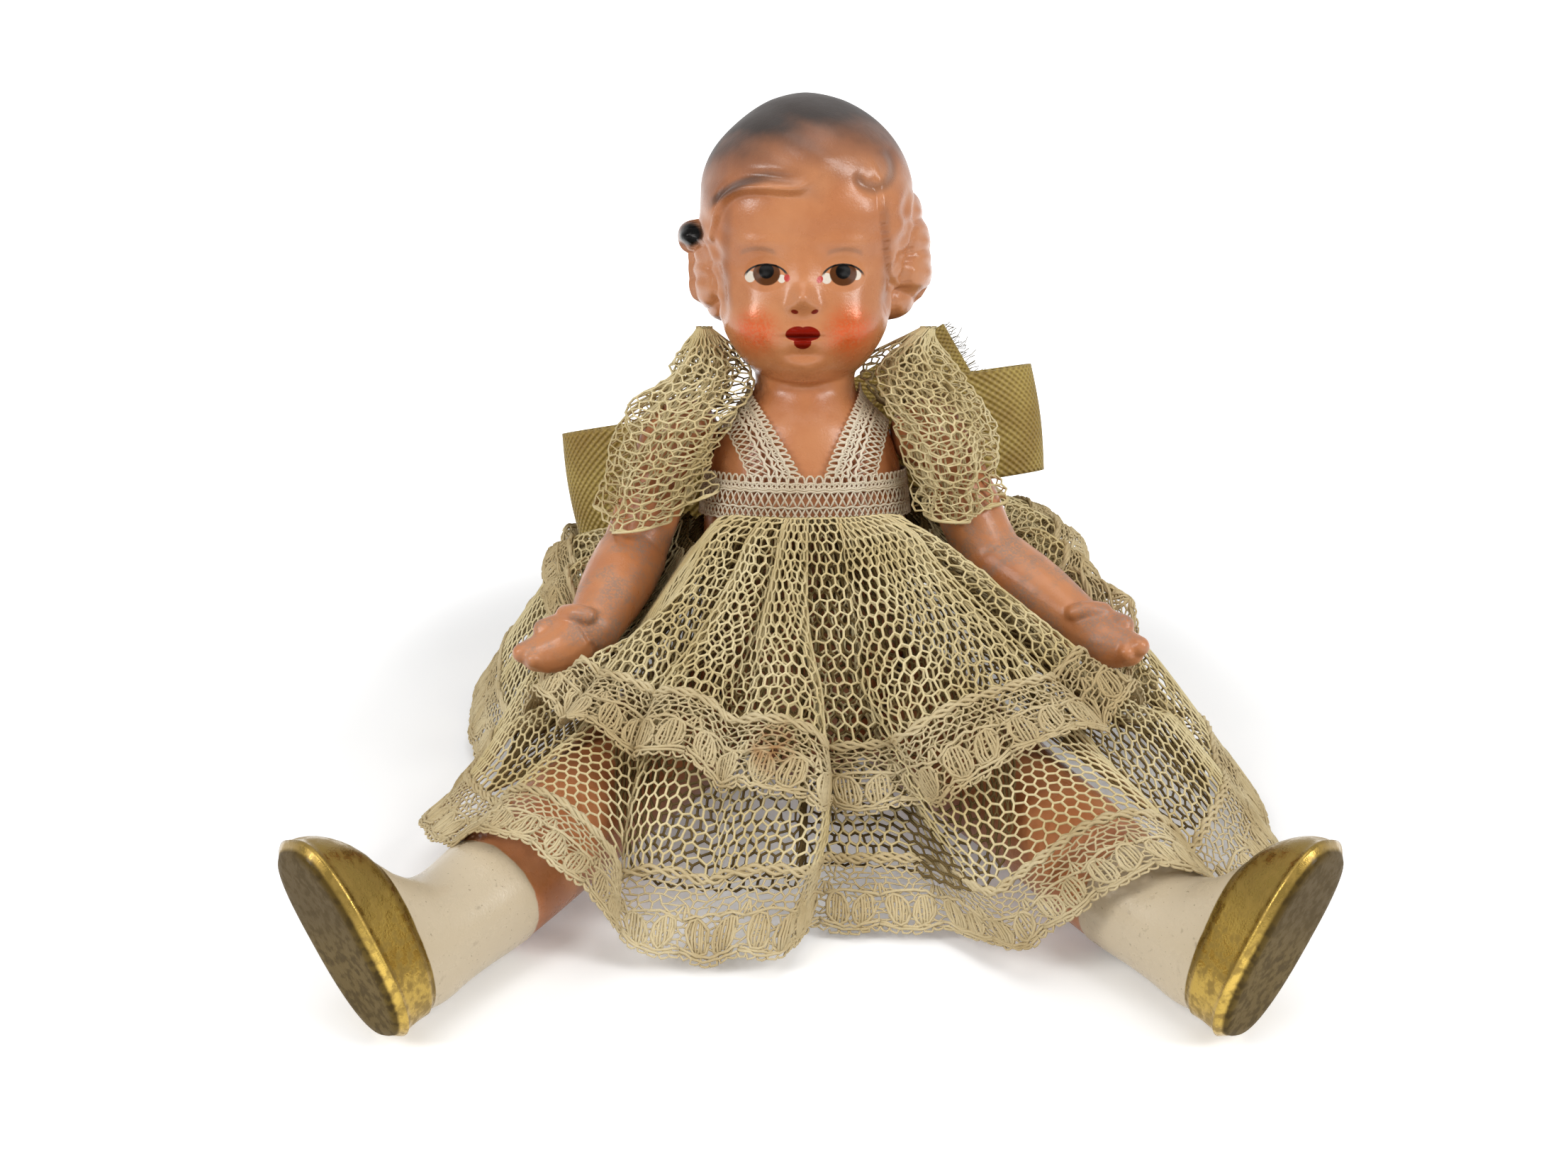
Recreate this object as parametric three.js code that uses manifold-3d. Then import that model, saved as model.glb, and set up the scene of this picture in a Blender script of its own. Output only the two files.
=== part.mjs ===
// A small strung composition doll, seated, in a gathered dress of net and lace.
// Millimetres, +Z up. The doll faces -Y and its own left side is +X.
// The origin is on the floor, under the flat on which the doll sits.
import * as THREE from "three";
import { mergeVertices } from "three/addons/utils/BufferGeometryUtils.js";
import Module from "manifold-3d";

const wasm = await Module();
wasm.setup();

const degrees = THREE.MathUtils.degToRad;
const point = (x, y, z) => new THREE.Vector3(x, y, z);
const X_AXIS = point(1, 0, 0);
const SIDES = { left: 1, right: -1 };

// Posture
const RECLINE = degrees(13.5); // the body leans back from upright
const HIP_SLANT = degrees(24.55); // the hip faces look outwards and this far down
const HIP_FLEX = degrees(88.2); // the legs are swung forward from standing
const STANCE = degrees(8); // splay of each leg when the doll stands

// Clearances
const FIT = 0.35; // between two pieces that touch on the real doll
const FLOOR_GAP = 0.3; // cloth above the floor

// Head and body casting: height, half width and half depth of each section
const BODY = [
  { z: -2.2, wide: 7.5, deep: 7.0 },
  { z: 3.0, wide: 14.0, deep: 11.8 },
  { z: 11.0, wide: 16.2, deep: 13.4 },
  { z: 20.0, wide: 16.0, deep: 13.6 },
  { z: 30.0, wide: 15.6, deep: 13.0 },
  { z: 38.0, wide: 15.2, deep: 12.2 },
  { z: 44.0, wide: 14.6, deep: 11.4 },
  { z: 48.5, wide: 13.8, deep: 10.6 },
  { z: 52.0, wide: 12.0, deep: 9.6 },
  { z: 54.5, wide: 9.4, deep: 8.4 },
  { z: 57.0, wide: 7.6, deep: 7.5 },
  { z: 65.0, wide: 7.2, deep: 7.2 },
];
const BODY_WALL = 2.8;
const CAVITY = { bottom: 13, top: 54 };
const HEAD = { low: 58.4, tall: 41.3, wide: 15.3, front: 15.8, back: 18.0 };
const HEAD_WALL = 3.6;
// The head's sections: height, half width and depths as shares of the head's own
const HEAD_SHAPE = [
  { up: 0.0, wide: 0.29, front: 0.59, back: 0.28 },
  { up: 0.053, wide: 0.54, front: 0.78, back: 0.39 },
  { up: 0.116, wide: 0.67, front: 0.9, back: 0.49 },
  { up: 0.208, wide: 0.78, front: 0.95, back: 0.66 },
  { up: 0.329, wide: 0.85, front: 0.96, back: 0.86 },
  { up: 0.45, wide: 0.93, front: 0.95, back: 0.97 },
  { up: 0.571, wide: 0.99, front: 1.0, back: 1.0 },
  { up: 0.683, wide: 1.0, front: 1.0, back: 0.98 },
  { up: 0.782, wide: 0.93, front: 0.91, back: 0.9 },
  { up: 0.869, wide: 0.76, front: 0.75, back: 0.74 },
  { up: 0.954, wide: 0.46, front: 0.46, back: 0.46 },
  { up: 1.0, wide: 0.17, front: 0.18, back: 0.18 },
];
const NOSE = { up: 0.31, wide: 1.8, tall: 2.6, out: 1.9 };
// Soft mounds and hollows of the face: place, spread and height; those beside the middle come in pairs
const FACE = [
  { x: 0, up: 0.05, wide: 3.4, tall: 2.0, out: 0.9 }, // chin
  { x: 0, up: 0.165, wide: 2.4, tall: 1.4, out: 0.8 }, // lips
  { x: 6.6, up: 0.19, wide: 4.2, tall: 4.0, out: 0.8 }, // cheeks
  { x: 5.4, up: 0.39, wide: 3.2, tall: 1.9, out: -0.8 }, // eye hollows
  { x: 6.2, up: 0.48, wide: 4.0, tall: 1.4, out: 0.4 }, // brows
];
// The curls at each side of the head: place as shares of the head's half width and height, and radius
const CURLS = {
  left: [
    { out: 0.876, up: 0.59, r: 3.0 },
    { out: 0.9, up: 0.49, r: 3.6 },
    { out: 0.88, up: 0.383, r: 3.9 },
    { out: 0.79, up: 0.295, r: 3.2 },
  ],
  right: [
    { out: 0.98, up: 0.528, r: 2.2 },
    { out: 0.824, up: 0.441, r: 3.5 },
    { out: 0.81, up: 0.344, r: 3.7 },
    { out: 0.758, up: 0.276, r: 2.6 },
  ],
};
const CURL_STRETCH = 1.7; // depth of a curl over its width
const HAIR = { edge: 0.717, fall: 0.34, raise: 0.9 }; // front hairline, its fall to the nape, thickness

// Stringing
const WIRE_RADIUS = 0.55;
const HOOK_RADIUS = 2.0;
const ELASTIC_RADIUS = 0.7;
const SHANK_BURIED = 4.2;
const STRING_HOLE = 2.9;

// Arms: elbow, wrist and fingertips in the body's frame, and the way the palm faces
const SHOULDER = { x: 18.2, y: 0.0, z: 50.4, ball: 5.4, step: 1.4 };
const ARM = {
  left: {
    elbow: point(27.9, -5.6, 31.9),
    wrist: point(40.1, -14.9, 23.6),
    tip: point(47.0, -23.3, 20.1),
    palm: point(-0.45, -0.75, 0.5),
  },
  right: {
    elbow: point(-25.6, -5.9, 33.0),
    wrist: point(-30.2, -19.9, 24.5),
    tip: point(-39.9, -23.5, 19.2),
    palm: point(0.3, -0.7, 0.6),
  },
};
const UPPER_ARM_RADIUS = 4.7;
const FOREARM_RADIUS = 4.8;
const WRIST_RADIUS = 3.7;
const HAND = { wide: 4.2, thick: 2.8, finger: 1.4, thumb: 1.5, curl: 3.0 };

// Legs, in a frame at the hip, standing, toes towards -Y
const HIP = { x: 12.0, y: 0.0, z: 11.0 };
const LEG = { long: 84.0, wide: 9.8 };
// The leg's sections down to the sole: half width, and reach before and behind, as shares
const LEG_SHAPE = [
  { down: -0.102, wide: 0.35, front: 0.41, back: 0.41 },
  { down: -0.06, wide: 0.78, front: 0.82, back: 0.82 },
  { down: 0.036, wide: 0.98, front: 0.99, back: 0.99 },
  { down: 0.167, wide: 1.0, front: 0.99, back: 0.99 },
  { down: 0.321, wide: 0.91, front: 0.92, back: 0.92 },
  { down: 0.452, wide: 0.82, front: 0.83, back: 0.83 },
  { down: 0.595, wide: 0.82, front: 0.81, back: 0.81 },
  { down: 0.714, wide: 0.77, front: 0.77, back: 0.77 },
  { down: 0.798, wide: 0.66, front: 0.76, back: 0.69 },
  { down: 0.845, wide: 0.61, front: 0.88, back: 0.66 },
  { down: 0.881, wide: 0.6, front: 1.16, back: 0.66 },
  { down: 0.905, wide: 0.61, front: 1.5, back: 0.66 },
  { down: 0.923, wide: 0.63, front: 1.77, back: 0.66 },
  { down: 0.952, wide: 0.67, front: 1.99, back: 0.66 },
  { down: 0.983, wide: 0.69, front: 2.05, back: 0.66 },
  { down: 1.0, wide: 0.61, front: 1.95, back: 0.58 },
];
const HEEL = 0.8; // width of the heel over that of the ball of the foot

// Dress
const LACE = 0.9; // thickness of the lace trims
const NET = 0.7; // thickness of the net layers
const OVER_RAISE = NET + LACE + FIT; // overskirt above the underskirt
const WAISTBAND = { low: 39.5, high: 45.5, opening: degrees(5) };
const STRAP = { inFront: 1.6, outFront: 9.6, inTop: 9.3, outTop: 12.2 };
const SKIRT = { reach: 62, waist: 0.02, folds: 15, foldTall: 3.0, netEnd: 0.82, over: 0.55, overLace: 0.72 };
// How far the skirt reaches in each direction from the front, in degrees, as a share of its longest
const SKIRT_SHAPE = [
  { turn: 0, share: 0.84 },
  { turn: 22, share: 0.89 },
  { turn: 41, share: 1.0 },
  { turn: 62, share: 0.87 },
  { turn: 90, share: 0.69 },
  { turn: 135, share: 0.74 },
  { turn: 180, share: 0.79 },
];
const OPENINGS = { pitch: 5, first: 1, last: 3 }; // columns of cloth left open between its bars
const PRESS_MARGIN = 1.3; // cloth below what presses on it
const TENT_FALL = 0.55; // slope of the cloth where it falls away beside a leg
const SLEEVE = [
  { z: 40.2, x: 23.6, y: -3.2, wide: 7.2, deep: 7.4 },
  { z: 45.0, x: 22.4, y: -2.2, wide: 8.2, deep: 8.8 },
  { z: 50.0, x: 20.8, y: -1.4, wide: 7.6, deep: 9.4 },
  { z: 53.8, x: 19.2, y: -1.8, wide: 7.0, deep: 9.2 },
  { z: 57.0, x: 18.2, y: -2.2, wide: 5.8, deep: 6.6 },
  { z: 61.0, x: 17.2, y: -3.0, wide: 4.6, deep: 4.6 },
  { z: 66.0, x: 17.8, y: -3.8, wide: 1.8, deep: 1.8 },
];
const SLEEVE_WRAP = { arm: degrees(118), top: degrees(166), from: 51.9, to: 53.6 }; // each way round
const RIBBON = { wide: 17, loop: 38, bulge: 3.4, thick: 0.6, tail: 30, tailWide: 12 };
const BOW = { z: 46, tilt: degrees(14) };
const TAIL_AIM = { left: point(0.82, 0.1, 0.5), right: point(-0.9, 0.05, -0.22) };
const KNOT = { wide: 7.5, deep: 4.6, tall: 8.0 };

// Materials
const paint = (color, roughness, metalness = 0) =>
  new THREE.MeshStandardMaterial({ color, roughness, metalness });
const FLESH = paint(0xd99a72, 0.5);
const STEEL_WIRE = paint(0x8d8a84, 0.4, 1);
const ELASTIC = paint(0xcbbfa6, 0.9);
const COTTON_LACE = paint(0xd8c9b4, 0.95);
const COTTON_NET = paint(0xbfb083, 0.95);
const RIBBON_SILK = paint(0xcdbf7c, 0.55);

// Closed meshes

// A closed geometry from points and triangles, turned so that its faces point out.
function closedGeometry(points, triangles) {
  const volume = triangles.reduce(
    (sum, [a, b, c]) => sum + points[a].dot(point(0, 0, 0).crossVectors(points[b], points[c])),
    0,
  );
  const order = volume < 0 ? [0, 2, 1] : [0, 1, 2];
  const geometry = new THREE.BufferGeometry();
  const flat = points.flatMap((p) => p.toArray());
  geometry.setAttribute("position", new THREE.Float32BufferAttribute(flat, 3));
  geometry.setIndex(triangles.flatMap((t) => order.map((k) => t[k])));
  return geometry;
}

// Two triangles for the quad a, b, c, d.
const quad = (a, b, c, d) => [
  [a, b, c],
  [a, c, d],
];

// A skin over a stack of rings with the same number of points, closed by a fan at each end.
function loft(rings) {
  const count = rings[0].length;
  const points = rings.flat();
  const triangles = [];
  for (let r = 0; r + 1 < rings.length; r++) {
    for (let k = 0; k < count; k++) {
      const next = (k + 1) % count;
      triangles.push(
        ...quad(r * count + k, r * count + next, (r + 1) * count + next, (r + 1) * count + k),
      );
    }
  }
  for (const [ring, start, flip] of [
    [rings[0], 0, true],
    [rings[rings.length - 1], (rings.length - 1) * count, false],
  ]) {
    const middle = ring.reduce((sum, p) => sum.add(p), point(0, 0, 0)).divideScalar(count);
    const hub = points.push(middle) - 1;
    for (let k = 0; k < count; k++) {
      const next = (k + 1) % count;
      triangles.push(flip ? [hub, start + next, start + k] : [hub, start + k, start + next]);
    }
  }
  return closedGeometry(points, triangles);
}

// A sheet with thickness, from two equal grids of points; around joins the first row to the last.
// Where open says so, a cell of the grid is left out, and the sheet is walled round the opening.
function sheet(inner, outer, around, open = () => false) {
  const rows = inner.length;
  const columns = inner[0].length;
  const points = [...inner.flat(), ...outer.flat()];
  const at = (side, i, j) => side * rows * columns + (i % rows) * columns + j;
  const last = around ? rows : rows - 1;
  const whole = (i, j) => {
    const row = around ? (i + last) % last : i;
    return row >= 0 && row < last && j >= 0 && j + 1 < columns && !open(row, j);
  };
  const triangles = [];
  for (let i = 0; i < last; i++) {
    for (let j = 0; j + 1 < columns; j++) {
      if (!whole(i, j)) continue;
      const corners = [
        [i, j],
        [i, j + 1],
        [i + 1, j + 1],
        [i + 1, j],
      ];
      const [low, high] = [0, 1].map((side) => corners.map(([r, c]) => at(side, r, c)));
      triangles.push(...quad(...low), ...quad(high[0], high[3], high[2], high[1]));
      const beside = [whole(i - 1, j), whole(i, j + 1), whole(i + 1, j), whole(i, j - 1)];
      beside.forEach((joined, k) => {
        const next = (k + 1) % 4;
        if (!joined) triangles.push(...quad(low[next], low[k], high[k], high[next]));
      });
    }
  }
  const used = [...new Set(triangles.flat())];
  const place = new Map(used.map((index, k) => [index, k]));
  return closedGeometry(
    used.map((index) => points[index]),
    triangles.map((t) => t.map((index) => place.get(index))),
  );
}

// A solid for joining and cutting, from any closed geometry.
function solid(geometry) {
  const bare = geometry.clone();
  bare.deleteAttribute("normal");
  bare.deleteAttribute("uv");
  const merged = mergeVertices(bare, 1e-4);
  return new wasm.Manifold(
    new wasm.Mesh({
      numProp: 3,
      vertProperties: new Float32Array(merged.attributes.position.array),
      triVerts: new Uint32Array(merged.index.array),
    }),
  );
}

// The geometry of a solid that was joined or cut.
function geometryOf(body) {
  const mesh = body.getMesh();
  const geometry = new THREE.BufferGeometry();
  geometry.setAttribute("position", new THREE.BufferAttribute(new Float32Array(mesh.vertProperties), 3));
  geometry.setIndex(new THREE.BufferAttribute(new Uint32Array(mesh.triVerts), 1));
  return geometry;
}

// A ball, an ellipsoid when it is stretched, at a place.
function ball(radius, place, stretch = [1, 1, 1], segments = 12) {
  return new THREE.SphereGeometry(radius, segments, Math.round(segments * 0.7))
    .scale(...stretch)
    .translate(place.x, place.y, place.z);
}

// A round bar between two points.
function bar(start, end, radius, segments = 12) {
  const along = end.clone().sub(start);
  const turn = new THREE.Quaternion().setFromUnitVectors(point(0, 1, 0), along.clone().normalize());
  const middle = start.clone().lerp(end, 0.5);
  return new THREE.CylinderGeometry(radius, radius, along.length(), segments)
    .applyQuaternion(turn)
    .translate(middle.x, middle.y, middle.z);
}

// A box that holds everything on the far side of a plane through a point.
function beyond(place, normal, size = 120) {
  const turn = new THREE.Quaternion().setFromUnitVectors(point(0, 0, 1), normal);
  return new THREE.BoxGeometry(size, size, size)
    .translate(0, 0, size / 2)
    .applyQuaternion(turn)
    .translate(place.x, place.y, place.z);
}

// A round wire along a path of points.
function wire(path, radius, steps, sides = 6) {
  const section = new THREE.Shape().absarc(0, 0, radius, 0, 2 * Math.PI);
  return new THREE.ExtrudeGeometry(section, {
    steps,
    curveSegments: sides / 2,
    bevelEnabled: false,
    extrudePath: new THREE.CatmullRomCurve3(path, false, "centripetal"),
  });
}

// One value read smoothly from a table of sections by its position key.
function read(table, key, name, at) {
  const last = table.length - 1;
  const i = Math.min(Math.max(table.findIndex((row) => row[key] > at) - 1, 0), last - 1);
  const index = at >= table[last][key] ? last - 1 : i;
  const [a, b] = [table[index], table[index + 1]];
  const before = table[Math.max(index - 1, 0)];
  const after = table[Math.min(index + 2, last)];
  const span = b[key] - a[key];
  const share = THREE.MathUtils.clamp((at - a[key]) / span, 0, 1);
  const slopeA = ((b[name] - before[name]) / (b[key] - before[key])) * span;
  const slopeB = ((after[name] - a[name]) / (after[key] - a[key])) * span;
  const s2 = share * share;
  const s3 = s2 * share;
  return (
    a[name] * (2 * s3 - 3 * s2 + 1) +
    slopeA * (s3 - 2 * s2 + share) +
    b[name] * (3 * s2 - 2 * s3) +
    slopeB * (s3 - s2)
  );
}

// Points round an ellipse: front first, then towards +X.
function ellipse(centre, wide, deep, count) {
  return Array.from({ length: count }, (_, k) => {
    const angle = (2 * Math.PI * k) / count;
    return point(centre.x + wide * Math.sin(angle), centre.y - deep * Math.cos(angle), centre.z);
  });
}

// Frames

const leanBack = (p) => p.clone().applyAxisAngle(X_AXIS, -RECLINE);
const standUp = (p) => p.clone().applyAxisAngle(X_AXIS, RECLINE);
const hipAxis = (side) => point(Math.cos(HIP_SLANT), 0, -side * Math.sin(HIP_SLANT));
const hipOut = (side) => point(side * Math.cos(HIP_SLANT), 0, -Math.sin(HIP_SLANT));
const hipPlace = (side) => point(side * HIP.x, HIP.y, HIP.z);
const shoulderPlace = (side) => point(side * SHOULDER.x, SHOULDER.y, SHOULDER.z);
const legTurn = (side) =>
  new THREE.Quaternion()
    .setFromAxisAngle(hipAxis(side), -HIP_FLEX)
    .multiply(new THREE.Quaternion().setFromAxisAngle(point(0, 1, 0), -side * STANCE));

// Half width or half depth of the body at a height.
const bodyWide = (z) => read(BODY, "z", "wide", z);
const bodyDeep = (z) => read(BODY, "z", "deep", z);

// Head and body

// The outside of the body, grown outwards by an offset, between two heights.
function bodyShape(low, high, rows, count, grow = 0) {
  const rings = [];
  for (let r = 0; r <= rows; r++) {
    const z = THREE.MathUtils.lerp(low, high, r / rows);
    rings.push(ellipse(point(0, 0, z), bodyWide(z) + grow, bodyDeep(z) + grow, count));
  }
  return loft(rings);
}

// A height in the head from its share, and one of the head's sizes at a height.
const inHead = (up) => HEAD.low + HEAD.tall * up;
const headSize = (name, z) => HEAD[name] * read(HEAD_SHAPE, "up", name, (z - HEAD.low) / HEAD.tall);

// How far the modelled face stands out of the smooth head at a place.
function faceRelief(x, z) {
  return FACE.reduce((sum, { x: beside, up, wide, tall, out }) => {
    const across = beside === 0 ? x : Math.abs(x) - beside;
    return sum + out * Math.exp(-((across / wide) ** 2) - ((z - inHead(up)) / tall) ** 2);
  }, 0);
}

// A point of the head's outside: direction round from the front, height and growth.
function headPoint(angle, z, grow = 0) {
  const hairline = inHead(HAIR.edge - HAIR.fall * (0.5 - 0.5 * Math.cos(angle)));
  const hair = THREE.MathUtils.smoothstep(z, hairline - 1.5, hairline + 1.5);
  const wave = hair * HAIR.raise * (0.65 + 0.35 * Math.sin(0.75 * z + 2 * Math.sin(angle)));
  const wide = headSize("wide", z);
  const before = Math.cos(angle) > 0;
  const face = before ? faceRelief(wide * Math.sin(angle), z) * Math.cos(angle) : 0;
  const out = grow === 0 ? wave + face : grow;
  const deep = headSize(before ? "front" : "back", z);
  return point((wide + out) * Math.sin(angle), -(deep + out) * Math.cos(angle), z);
}

// The head as a stack of rings.
function headShape(count, rows, grow = 0) {
  const low = inHead(0) - grow;
  const high = inHead(1) + grow;
  return loft(
    Array.from({ length: rows + 1 }, (_, r) => {
      const z = THREE.MathUtils.lerp(low, high, 0.5 - 0.5 * Math.cos((Math.PI * r) / rows));
      return Array.from({ length: count }, (_, k) => headPoint((2 * Math.PI * k) / count, z, grow));
    }),
  );
}

// One casting: head, neck and body, hollow, with a dished seat and a string hole at each limb.
function headAndBody() {
  const top = BODY[BODY.length - 1].z;
  let casting = solid(bodyShape(BODY[0].z, top, 13, 22)).add(solid(headShape(36, 24)));
  const nose = ball(1, headPoint(0, inHead(NOSE.up)), [NOSE.wide, NOSE.out, NOSE.tall], 8);
  casting = casting.add(solid(nose));
  for (const [name, side] of Object.entries(SIDES)) {
    for (const { out, up, r } of CURLS[name]) {
      const place = point(side * HEAD.wide * out, 0, inHead(up));
      const curl = ball(r, place, [1, CURL_STRETCH, 1], 10);
      casting = casting.add(solid(curl));
    }
  }

  let hollow = solid(bodyShape(CAVITY.bottom, CAVITY.top, 6, 12, -BODY_WALL));
  hollow = hollow.add(solid(headShape(12, 8, -HEAD_WALL)));
  const throat = bar(point(0, 0, CAVITY.top - 4), point(0, 0, inHead(0.3)), STRING_HOLE + 0.6);
  hollow = hollow.add(solid(throat));
  for (const side of Object.values(SIDES)) {
    const shoulder = shoulderPlace(side);
    const hip = hipPlace(side);
    const inward = hipOut(side).multiplyScalar(-1);
    const outsideHip = hip.clone().addScaledVector(inward, -2);
    const insideHip = hip.clone().addScaledVector(inward, 9);
    const chest = point(side * (bodyWide(SHOULDER.z) - BODY_WALL - 3), SHOULDER.y, SHOULDER.z);
    hollow = hollow
      .add(solid(ball(SHOULDER.ball + FIT, shoulder, [1, 1, 1], 12)))
      .add(solid(bar(chest, shoulder, STRING_HOLE)))
      .add(solid(beyond(hip, hipOut(side))))
      .add(solid(bar(outsideHip, insideHip, STRING_HOLE)));
  }
  const floor = beyond(point(0, 0, 0), standUp(point(0, 0, -1)));
  return geometryOf(casting.subtract(hollow).subtract(solid(floor)));
}

// Stringing

// A wire hook: a shank along an aim from a buried end, and an open eye at the inner end.
function hook(buried, eye, aim) {
  const neck = eye.clone().addScaledVector(aim, 1.6 * HOOK_RADIUS);
  const path = [buried, buried.clone().lerp(eye, 0.5), neck];
  const across = point(-aim.z, 0, aim.x);
  const begin = degrees(50);
  const turnsBy = degrees(262);
  const arcs = 9;
  for (let k = 0; k <= arcs; k++) {
    const angle = begin + (turnsBy * k) / arcs;
    path.push(
      eye
        .clone()
        .addScaledVector(aim, HOOK_RADIUS * Math.cos(angle))
        .addScaledVector(across, HOOK_RADIUS * Math.sin(angle)),
    );
  }
  return wire(path, WIRE_RADIUS, 20);
}

// The eye of the arm hook or leg hook on one side, and the way its shank points.
const armEye = (side) => point(side * (HOOK_RADIUS + 4.6), SHOULDER.y, SHOULDER.z);
const armAim = (side) => point(side, 0, 0);
function legEye(side) {
  const away = (HIP.x - HOOK_RADIUS - 4.0) / Math.cos(HIP_SLANT);
  return hipPlace(side).addScaledVector(hipOut(side), -away);
}

// A stretched loop of elastic between the two eyes of a pair of hooks.
function elastic(eye) {
  const loop = WIRE_RADIUS + ELASTIC_RADIUS + FIT;
  const pull = Math.abs(eye.x) - HOOK_RADIUS;
  const geometry = new THREE.TorusGeometry(loop, ELASTIC_RADIUS, 6, 14).rotateZ(Math.PI / 36);
  const places = geometry.attributes.position;
  for (let i = 0; i < places.count; i++) places.setX(i, places.getX(i) + Math.sign(places.getX(i)) * pull);
  return geometry.translate(0, eye.y, eye.z);
}

// Arms

// Rings round a path, each with its own radius; the flat of the limb lies across the facing.
function limb(stations, facing, count) {
  return loft(
    stations.map(({ place, along, wide, thick }) => {
      const v = facing.clone().addScaledVector(along, -facing.dot(along)).normalize();
      const u = point(0, 0, 0).crossVectors(v, along).normalize();
      return Array.from({ length: count }, (_, k) => {
        const angle = (2 * Math.PI * k) / count;
        return place
          .clone()
          .addScaledVector(u, wide * Math.cos(angle))
          .addScaledVector(v, thick * Math.sin(angle));
      });
    }),
  );
}

// One arm casting with its cupped hand, in a frame at the shoulder.
function armCasting(name, side) {
  const shoulder = shoulderPlace(side);
  const elbow = ARM[name].elbow.clone().sub(shoulder);
  const wrist = ARM[name].wrist.clone().sub(shoulder);
  const tip = ARM[name].tip.clone().sub(shoulder);
  const root = point(side * SHOULDER.step, 0, 0);
  const upperAim = elbow.clone().sub(root).normalize();
  const foreAim = wrist.clone().sub(elbow).normalize();
  const handAim = tip.clone().sub(wrist).normalize();
  const handLong = tip.distanceTo(wrist);
  const knuckles = wrist.clone().addScaledVector(handAim, handLong * 0.6);
  const station = (place, along, wide, thick = wide) => ({ place, along, wide, thick });
  const down = (share) => root.clone().lerp(elbow, share);
  const fore = (share) => elbow.clone().lerp(wrist, share);
  const limbShape = limb(
    [
      station(down(0), upperAim, UPPER_ARM_RADIUS * 0.94),
      station(down(0.5), upperAim, UPPER_ARM_RADIUS),
      station(down(0.85), upperAim, UPPER_ARM_RADIUS * 0.98),
      station(fore(0.06), upperAim.clone().add(foreAim).normalize(), FOREARM_RADIUS * 1.04),
      station(fore(0.4), foreAim, FOREARM_RADIUS),
      station(fore(0.75), foreAim, (FOREARM_RADIUS + WRIST_RADIUS) / 2),
      station(wrist, foreAim.clone().add(handAim).normalize(), WRIST_RADIUS, WRIST_RADIUS * 0.9),
      station(wrist.clone().lerp(tip, 0.35), handAim, HAND.wide, HAND.thick),
      station(knuckles, handAim, HAND.wide, HAND.thick * 0.75),
    ],
    ARM[name].palm,
    12,
  );
  let casting = solid(limbShape).add(solid(ball(SHOULDER.ball, point(0, 0, 0), [1, 1, 1], 12)));

  const palm = ARM[name].palm.clone().addScaledVector(handAim, -ARM[name].palm.dot(handAim)).normalize();
  const across = point(0, 0, 0).crossVectors(palm, handAim);
  if (across.z < 0) across.negate();
  const digit = (base, end, radius) =>
    solid(bar(base, end, radius, 6)).add(solid(ball(radius, end, [1, 1, 1], 6)));
  for (let finger = 0; finger < 4; finger++) {
    const base = knuckles.clone().addScaledVector(across, (finger - 1.5) * HAND.finger * 1.4);
    const end = base
      .clone()
      .addScaledVector(handAim, handLong * 0.4 - HAND.finger)
      .addScaledVector(palm, HAND.curl);
    casting = casting.add(digit(base, end, HAND.finger));
  }
  const thumbRoot = wrist.clone().addScaledVector(handAim, handLong * 0.25);
  const thumbTip = thumbRoot
    .clone()
    .addScaledVector(across, HAND.wide * 0.95)
    .addScaledVector(handAim, handLong * 0.12)
    .addScaledVector(palm, HAND.thick);
  casting = casting.add(digit(thumbRoot, thumbTip, HAND.thumb));
  const shank = bar(
    point(-side * (SHOULDER.ball + 1), 0, 0),
    point(side * (SHANK_BURIED + FIT - SHOULDER.ball), 0, 0),
    WIRE_RADIUS + FIT,
  );
  return geometryOf(casting.subtract(solid(shank)));
}

// Legs

// One of the leg's sizes at a distance down from the hip.
const legSize = (name, t) => LEG.wide * read(LEG_SHAPE, "down", name, t / LEG.long);

// A level ring of the leg: toes towards -Y, and the foot's heel narrower than its ball.
function legRing(t, count) {
  const wide = legSize("wide", t);
  const middle = (legSize("back", t) - legSize("front", t)) / 2;
  const half = (legSize("back", t) + legSize("front", t)) / 2;
  const taper = (1 - HEEL) * THREE.MathUtils.smoothstep(half / wide, 1.1, 1.8);
  return Array.from({ length: count }, (_, k) => {
    const angle = (2 * Math.PI * k) / count;
    const heel = 1 - taper * (0.5 - 0.5 * Math.cos(angle));
    return point(wide * heel * Math.sin(angle), middle - half * Math.cos(angle), -t);
  });
}

// One leg casting with its moulded sock and slipper, in a standing frame at the hip.
function legCasting(side) {
  const levels = LEG_SHAPE.flatMap(({ down }, k) => {
    const before = k === 0 ? down : LEG_SHAPE[k - 1].down;
    return down - before > 0.08 ? [(before + down) / 2, down] : [down];
  });
  let casting = solid(loft(levels.map((down) => legRing(LEG.long * down, 18))));
  const out = hipOut(side).applyAxisAngle(point(0, 1, 0), side * STANCE);
  const inward = out.clone().multiplyScalar(-1);
  casting = casting.subtract(solid(beyond(out.clone().multiplyScalar(FIT), inward)));
  const buried = out.clone().multiplyScalar(SHANK_BURIED + FIT);
  return geometryOf(casting.subtract(solid(bar(inward, buried, WIRE_RADIUS + FIT))));
}

// Dress

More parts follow.
